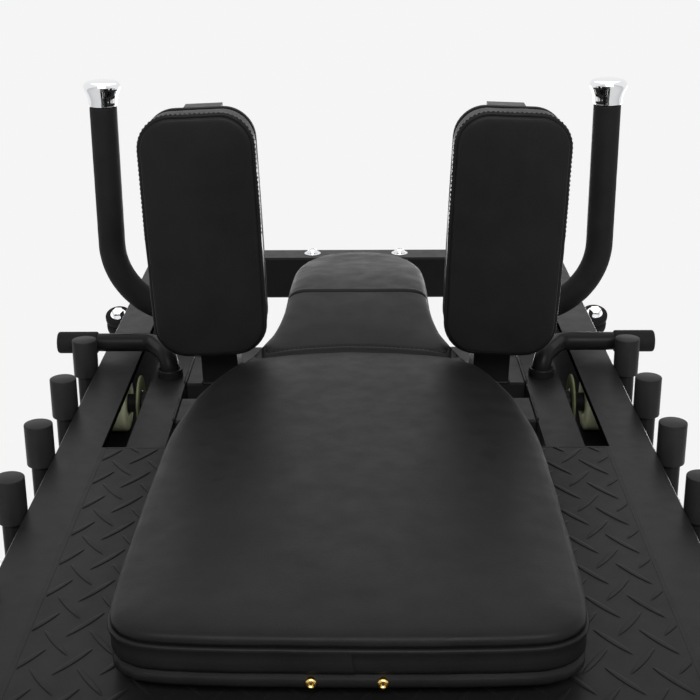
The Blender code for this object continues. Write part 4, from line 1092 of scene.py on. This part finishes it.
def side_hubs():
    """Grooved rubber spools on their brackets near the rails' high end."""
    spool = [(0, 0.0), (0.011, 0.0), (0.012, -0.001), (0.012, -0.0038), (0.0174, -0.005),
             (0.0187, -0.0066), (0.019, -0.009), (0.019, -0.015), (0.0182, -0.0172), (0.0152, -0.0188),
             (0.0139, -0.02), (0.0139, -0.0218), (0.0152, -0.023), (0.0181, -0.024), (0.019, -0.0256),
             (0.019, -0.0315), (0.0184, -0.0332), (0.0168, -0.034), (0, -0.034)]
    boss = [(0, 0.012), (0.0095, 0.012), (0.01, 0.0112), (0.01, -0.001), (0, -0.001)]
    outer = RAIL_OUTER + 0.0003
    for side, sign in SIDES:
        place = at(sign * 0.3487, 1.7593, -0.119, spin(-155, "X"))
        add_turned(f"{side}_hub_spool", spool, RUBBER, "frame", place, 48, replaces=(f"{side}_side_hub",))

        def bracket(shape):
            block(shape, (sign * outer, 1.7143, -0.141), (sign * 0.302, 1.7793, -0.04), bevel=0.0016)
            block(shape, (sign * 0.301, 1.7473, -0.131), (sign * 0.3567, 1.7713, -0.123), bevel=0.0016)
            lathe(shape, boss, place, 28)
            for x, low, high, n in ((0.3026, 1.7475, 1.7711, -0.1226), (0.2947, 1.716, 1.7776, -0.0396)):
                weld_bead(shape, [(sign * x, low, n), (sign * x, high, n)])

        add_piece(f"{side}_hub_bracket", bracket, PAINT, "frame")
        add_bolts(f"{side}_hub_bolt", "frame", hex_bolt, (0.0087, 0.0062, 0.0115),
                  [place @ shift(0, 0, -0.0338) @ spin(180, "X")], CHROME)


def weight_bar():
    """The bar across the sled, with its collars and chrome sleeves for the plates."""
    place = at(0, 1.2, -0.225, ALONG_X)
    half = [(0.019, 0.3225), (0.0215, 0.3246), (0.044, 0.3252), (0.045, 0.3262), (0.045, 0.334),
            (0.044, 0.3351), (0, 0.3351)]
    core = [(radius, -height) for radius, height in reversed(half)] + half
    sleeve = [(0, 0.334), (0.025, 0.334), (0.025, 0.584), (0.0242, 0.5847), (0.0242, 0.5863),
              (0.025, 0.587), (0.025, 0.5972), (0.024, 0.5992), (0.0226, 0.6), (0.017, 0.6),
              (0.0164, 0.599), (0, 0.599)]
    add_turned("weight_bar_core", core, PAINT, "sled", place, 56, replaces=("weight_bar",))

    def sleeves(shape):
        for degrees in (180, 0):
            turn = place @ spin(degrees, "Y")
            lathe(shape, sleeve, turn, 56)
            hex_bolt(shape, turn @ shift(0, 0, 0.5988), 0.0105, 0.005, 0.0135)

    add_piece("weight_bar_sleeves", sleeves, CHROME, "sled")


def clamp_knob():
    """The lobed knob that clamps the back rest on its slotted sector."""
    place = BACK_REST @ shift(0, 0.118, 0) @ ALONG_X
    rows = ((0.011, 0.0338, 0), (0.0118, 0.035, 0), (0.0118, 0.041, 0), (0.015, 0.0428, 0.3),
            (0.0185, 0.0442, 1), (0.0198, 0.0462, 1), (0.02, 0.05, 1), (0.02, 0.057, 1),
            (0.0194, 0.0596, 1), (0.0178, 0.061, 0.9), (0.014, 0.0615, 0.4), (0.008, 0.0612, 0),
            (0.0074, 0.0604, 0))
    stud = [(0, -0.0395), (0.0042, -0.0395), (0.0049, -0.0388), (0.0049, 0.0345), (0, 0.0345)]
    angles = [2 * pi * i / 60 for i in range(60)]

    def grip(shape):
        rings = []
        for radius, height, lobe in rows:
            radii = [radius * (1 + 0.05 * lobe * cos(5 * a)) for a in angles]
            rings.append([shape.verts.new(place @ Vector((r * cos(a), r * sin(a), height)))
                          for r, a in zip(radii, angles)])
        join_rings(shape, rings, capped=True)

    add_piece("clamp_knob", grip, RUBBER, "back_rest_knob", replaces=("back_rest_knob",))
    add_turned("clamp_stud", stud, ZINC, "back_rest_knob", place, 24)


def rubber_parts():
    """Feet under the base and bumpers for the sled's top end."""
    foot = [(0, 0.0), (0.025, 0.0), (0.0284, 0.0006), (0.03, 0.0026), (0.03, 0.006), (0.0291, 0.0068),
            (0.0291, 0.0078), (0.03, 0.0086), (0.03, 0.0135), (0.0262, 0.019), (0.024, 0.0197),
            (0, 0.0197)]
    bumper = [(0, 0.0), (0.014, 0.0), (0.015, -0.0012), (0.015, -0.0125), (0.0143, -0.016),
              (0.0122, -0.0186), (0.009, -0.0198), (0.004, -0.02), (0.0034, -0.0175), (0, -0.0175)]
    for side, sign in SIDES:
        for end, reach, y in (("front", 0.325, -1.03), ("rear", 0.385, 1.03)):
            name = f"{side}_{end}_rubber_foot"
            add_turned(f"{name}_ribbed", foot, RUBBER, "frame", shift(sign * reach, y, 0), 48,
                       replaces=(name,))
        add_turned(f"{side}_bumper", bumper, RUBBER, "frame", at(sign * TUBE_X, 1.7327, -0.03, ALONG_S), 40,
                   replaces=(f"{side}_top_bumper",))


def plugs():
    """Plastic plugs in the tubes' open ends."""
    def frame_plugs(shape):
        for _, sign in SIDES:
            block(shape, (sign * 0.2514, -0.0026, -0.0752), (sign * 0.2926, 0.0, -0.0014))
            for reach, y in ((0.36, -1.03), (0.42, 1.03)):
                block(shape, (sign * reach, y - 0.0275, 0.0225),
                      (sign * (reach + 0.0024), y + 0.0275, 0.0775), LEVEL)

    def sled_plugs(shape):
        for _, sign in SIDES:
            block(shape, (sign * 0.1915, 1.47, -0.0585), (sign * 0.2275, 1.4722, -0.0068))

    add_piece("frame_plugs", frame_plugs, PLUG, "frame")
    add_piece("sled_plugs", sled_plugs, PLUG, "sled")


def welds():
    """Weld beads where the tubes meet."""
    foot_n, wide = BASE_TOP + 0.0003, 0.0024

    def on_frame(shape):
        for _, sign in SIDES:
            inner, outer = sign * RAIL_INNER, sign * RAIL_OUTER
            low, high = sign * 0.242, sign * 0.302
            edge = inner - sign * 0.0006
            weld_bead(shape, [(edge, 1.7345, 0.0), (edge, 1.7765, 0.0)])
            weld_round(shape, (inner, -0.1703), (outer, -0.1197), foot_n, LEVEL, wide)
            weld_round(shape, (inner, 0.9298), (outer, 0.9802), foot_n, LEVEL, wide)
            for start, end in (((low, -1.0, BASE_TOP), (high, -1.0, BASE_TOP)),
                               ((low, 1.0, BASE_TOP), (high, 1.0, BASE_TOP)),
                               ((low, -0.169, BASE_TOP), (low, -0.121, BASE_TOP)),
                               ((inner, 0.931, 0.55), (inner, 0.979, 0.55))):
                weld_bead(shape, [start, end], LEVEL, wide)
            weld_round(shape, (sign * 0.2522, -0.6302), (sign * 0.2918, -0.5798), foot_n, LEVEL, 0.0022)
            spine = sign * 0.0184
            weld_bead(shape, [(spine, -0.675, foot_n), (spine, -0.305, foot_n)], LEVEL, 0.0022)
            for s in PEGS:
                ring = [(PEG_X * sign + 0.0118 * cos(a), s + 0.0118 * sin(a), -0.0545)
                        for a in (2 * pi * i / 10 for i in range(11))]
                weld_bead(shape, ring, radius=0.0018)
        weld_bead(shape, [(-0.029, -1.0, BASE_TOP), (0.029, -1.0, BASE_TOP)], LEVEL, wide)

    def on_sled(shape):
        for _, sign in SIDES:
            x = sign * 0.1899
            for low, high, n in ((1.1475, 1.2085, -0.0053), (1.254, 1.3385, -0.0053),
                                 (1.4225, 1.4685, -0.04)):
                weld_bead(shape, [(x, low, n), (x, high, n)])
            post = sign * SHOULDER_X
            weld_round(shape, (post - 0.0202, 1.2526), (post + 0.0202, 1.303), -0.0046)

    add_piece("frame_welds", on_frame, PAINT, "frame", smooth=60)
    add_piece("sled_welds", on_sled, PAINT, "sled", smooth=60)


# Camera, light and floor

PALE = (0.913, 0.913, 0.913, 1)


def set_camera():
    """The camera stands where the photograph was taken, below the pad and looking up the slope."""
    data = bpy.data.cameras.new("camera")
    data.sensor_width = 36
    data.lens = 72
    data.clip_start = 0.02
    data.clip_end = 100
    camera = add_object("camera", data)
    camera.location = (0.004, -0.8395, 0.7567)
    camera.rotation_euler = (radians(115), 0, radians(0.41))
    bpy.context.scene.camera = camera


def add_lamp(name, place, target, size, power):
    """A large soft lamp that looks at a point."""
    data = bpy.data.lights.new(name, "AREA")
    data.shape = "RECTANGLE"
    data.size, data.size_y = size
    data.energy = power
    lamp = add_object(name, data)
    lamp.location = place
    lamp.rotation_euler = (Vector(target) - Vector(place)).to_track_quat("-Z", "Y").to_euler()


def set_light():
    """Soft studio lamps, and the plain view settings."""
    add_lamp("key", (0.0, -0.5, 3.9), (0, 0.4, 0.9), (2.8, 2.8), 14)
    add_lamp("front", (0.2, -3.2, 0.9), (0, 0.3, 1.2), (3.0, 1.4), 92)
    add_lamp("back", (0.3, 3.4, 2.7), (0, 0.5, 1.1), (3.0, 1.6), 74)
    bpy.context.scene.view_settings.view_transform = "Standard"


def pale_for_camera(tree, plain, pale):
    """Mixes a shader with a pale glow that only the camera, gloss and glass see."""
    rays = add_node(tree, "LightPath", {}).outputs
    seen = add_node(tree, "Math", {0: rays["Is Camera Ray"], 1: rays["Is Glossy Ray"]}, operation="MAXIMUM")
    seen = add_node(tree, "Math", {0: seen.outputs[0], 1: rays["Is Transmission Ray"]}, operation="MAXIMUM")
    return add_node(tree, "MixShader", {0: seen.outputs[0], 1: plain, 2: pale}).outputs[0]


def set_world():
    """A pale background, with a dimmer even light on the object."""
    world = bpy.data.worlds.new("studio")
    bpy.context.scene.world = world
    world.use_nodes = True
    tree = world.node_tree
    tree.nodes.clear()
    plain = add_node(tree, "Background", {"Color": (0.95, 0.97, 1.0, 1), "Strength": 0.24})
    pale = add_node(tree, "Background", {"Color": PALE, "Strength": 1.0})
    add_node(tree, "OutputWorld", {"Surface": pale_for_camera(tree, plain.outputs[0], pale.outputs[0])})


def set_floor():
    """A pale floor that keeps the object's shadow."""
    def build(shape):
        bmesh.ops.create_grid(shape, x_segments=1, y_segments=1, size=14)

    mesh = mesh_from(build, "floor")
    floor = add_object("floor", mesh)
    floor.location = (0, 0, -0.0005)
    material, tree, shader = new_material("pale_floor", (0.86,) * 3, 0.9, specular=0.5)
    glow = add_node(tree, "Emission", {"Color": PALE})
    blend = add_node(tree, "MixShader", {0: 0.55, 1: shader.outputs[0], 2: glow.outputs[0]})
    surface = tree.nodes["Material Output"].inputs["Surface"]
    tree.links.new(pale_for_camera(tree, shader.outputs[0], blend.outputs[0]), surface)
    mesh.materials.append(material)


# Carried-over CAD nodes

NODE_LOOKS = (("tread_deck", PLATE_PAINT), ("_rail", RAIL_PAINT),
              (("rubber_foot", "top_bumper", "side_hub", "knob"), RUBBER), (("cushion", "_pad"), LEATHER),
              (("handle_cap", "weight_bar"), CHROME), ("_handle", FOAM), ("roller", TYRE))


def dress_frame():
    """Gives every CAD node its procedural material."""
    for name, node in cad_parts.items():
        node.data.materials.clear()
        node.data.materials.append(next((look for ends, look in NODE_LOOKS if name.endswith(ends)), PAINT))


for make in (set_camera, set_world, set_floor, set_light, dress_frame, back_pad, shoulder_pads, seat_pads,
             handles, lock_arms, rollers, stop_ladders, tread_deck, hardware, side_hubs, weight_bar,
             clamp_knob, rubber_parts, plugs, welds):
    make()
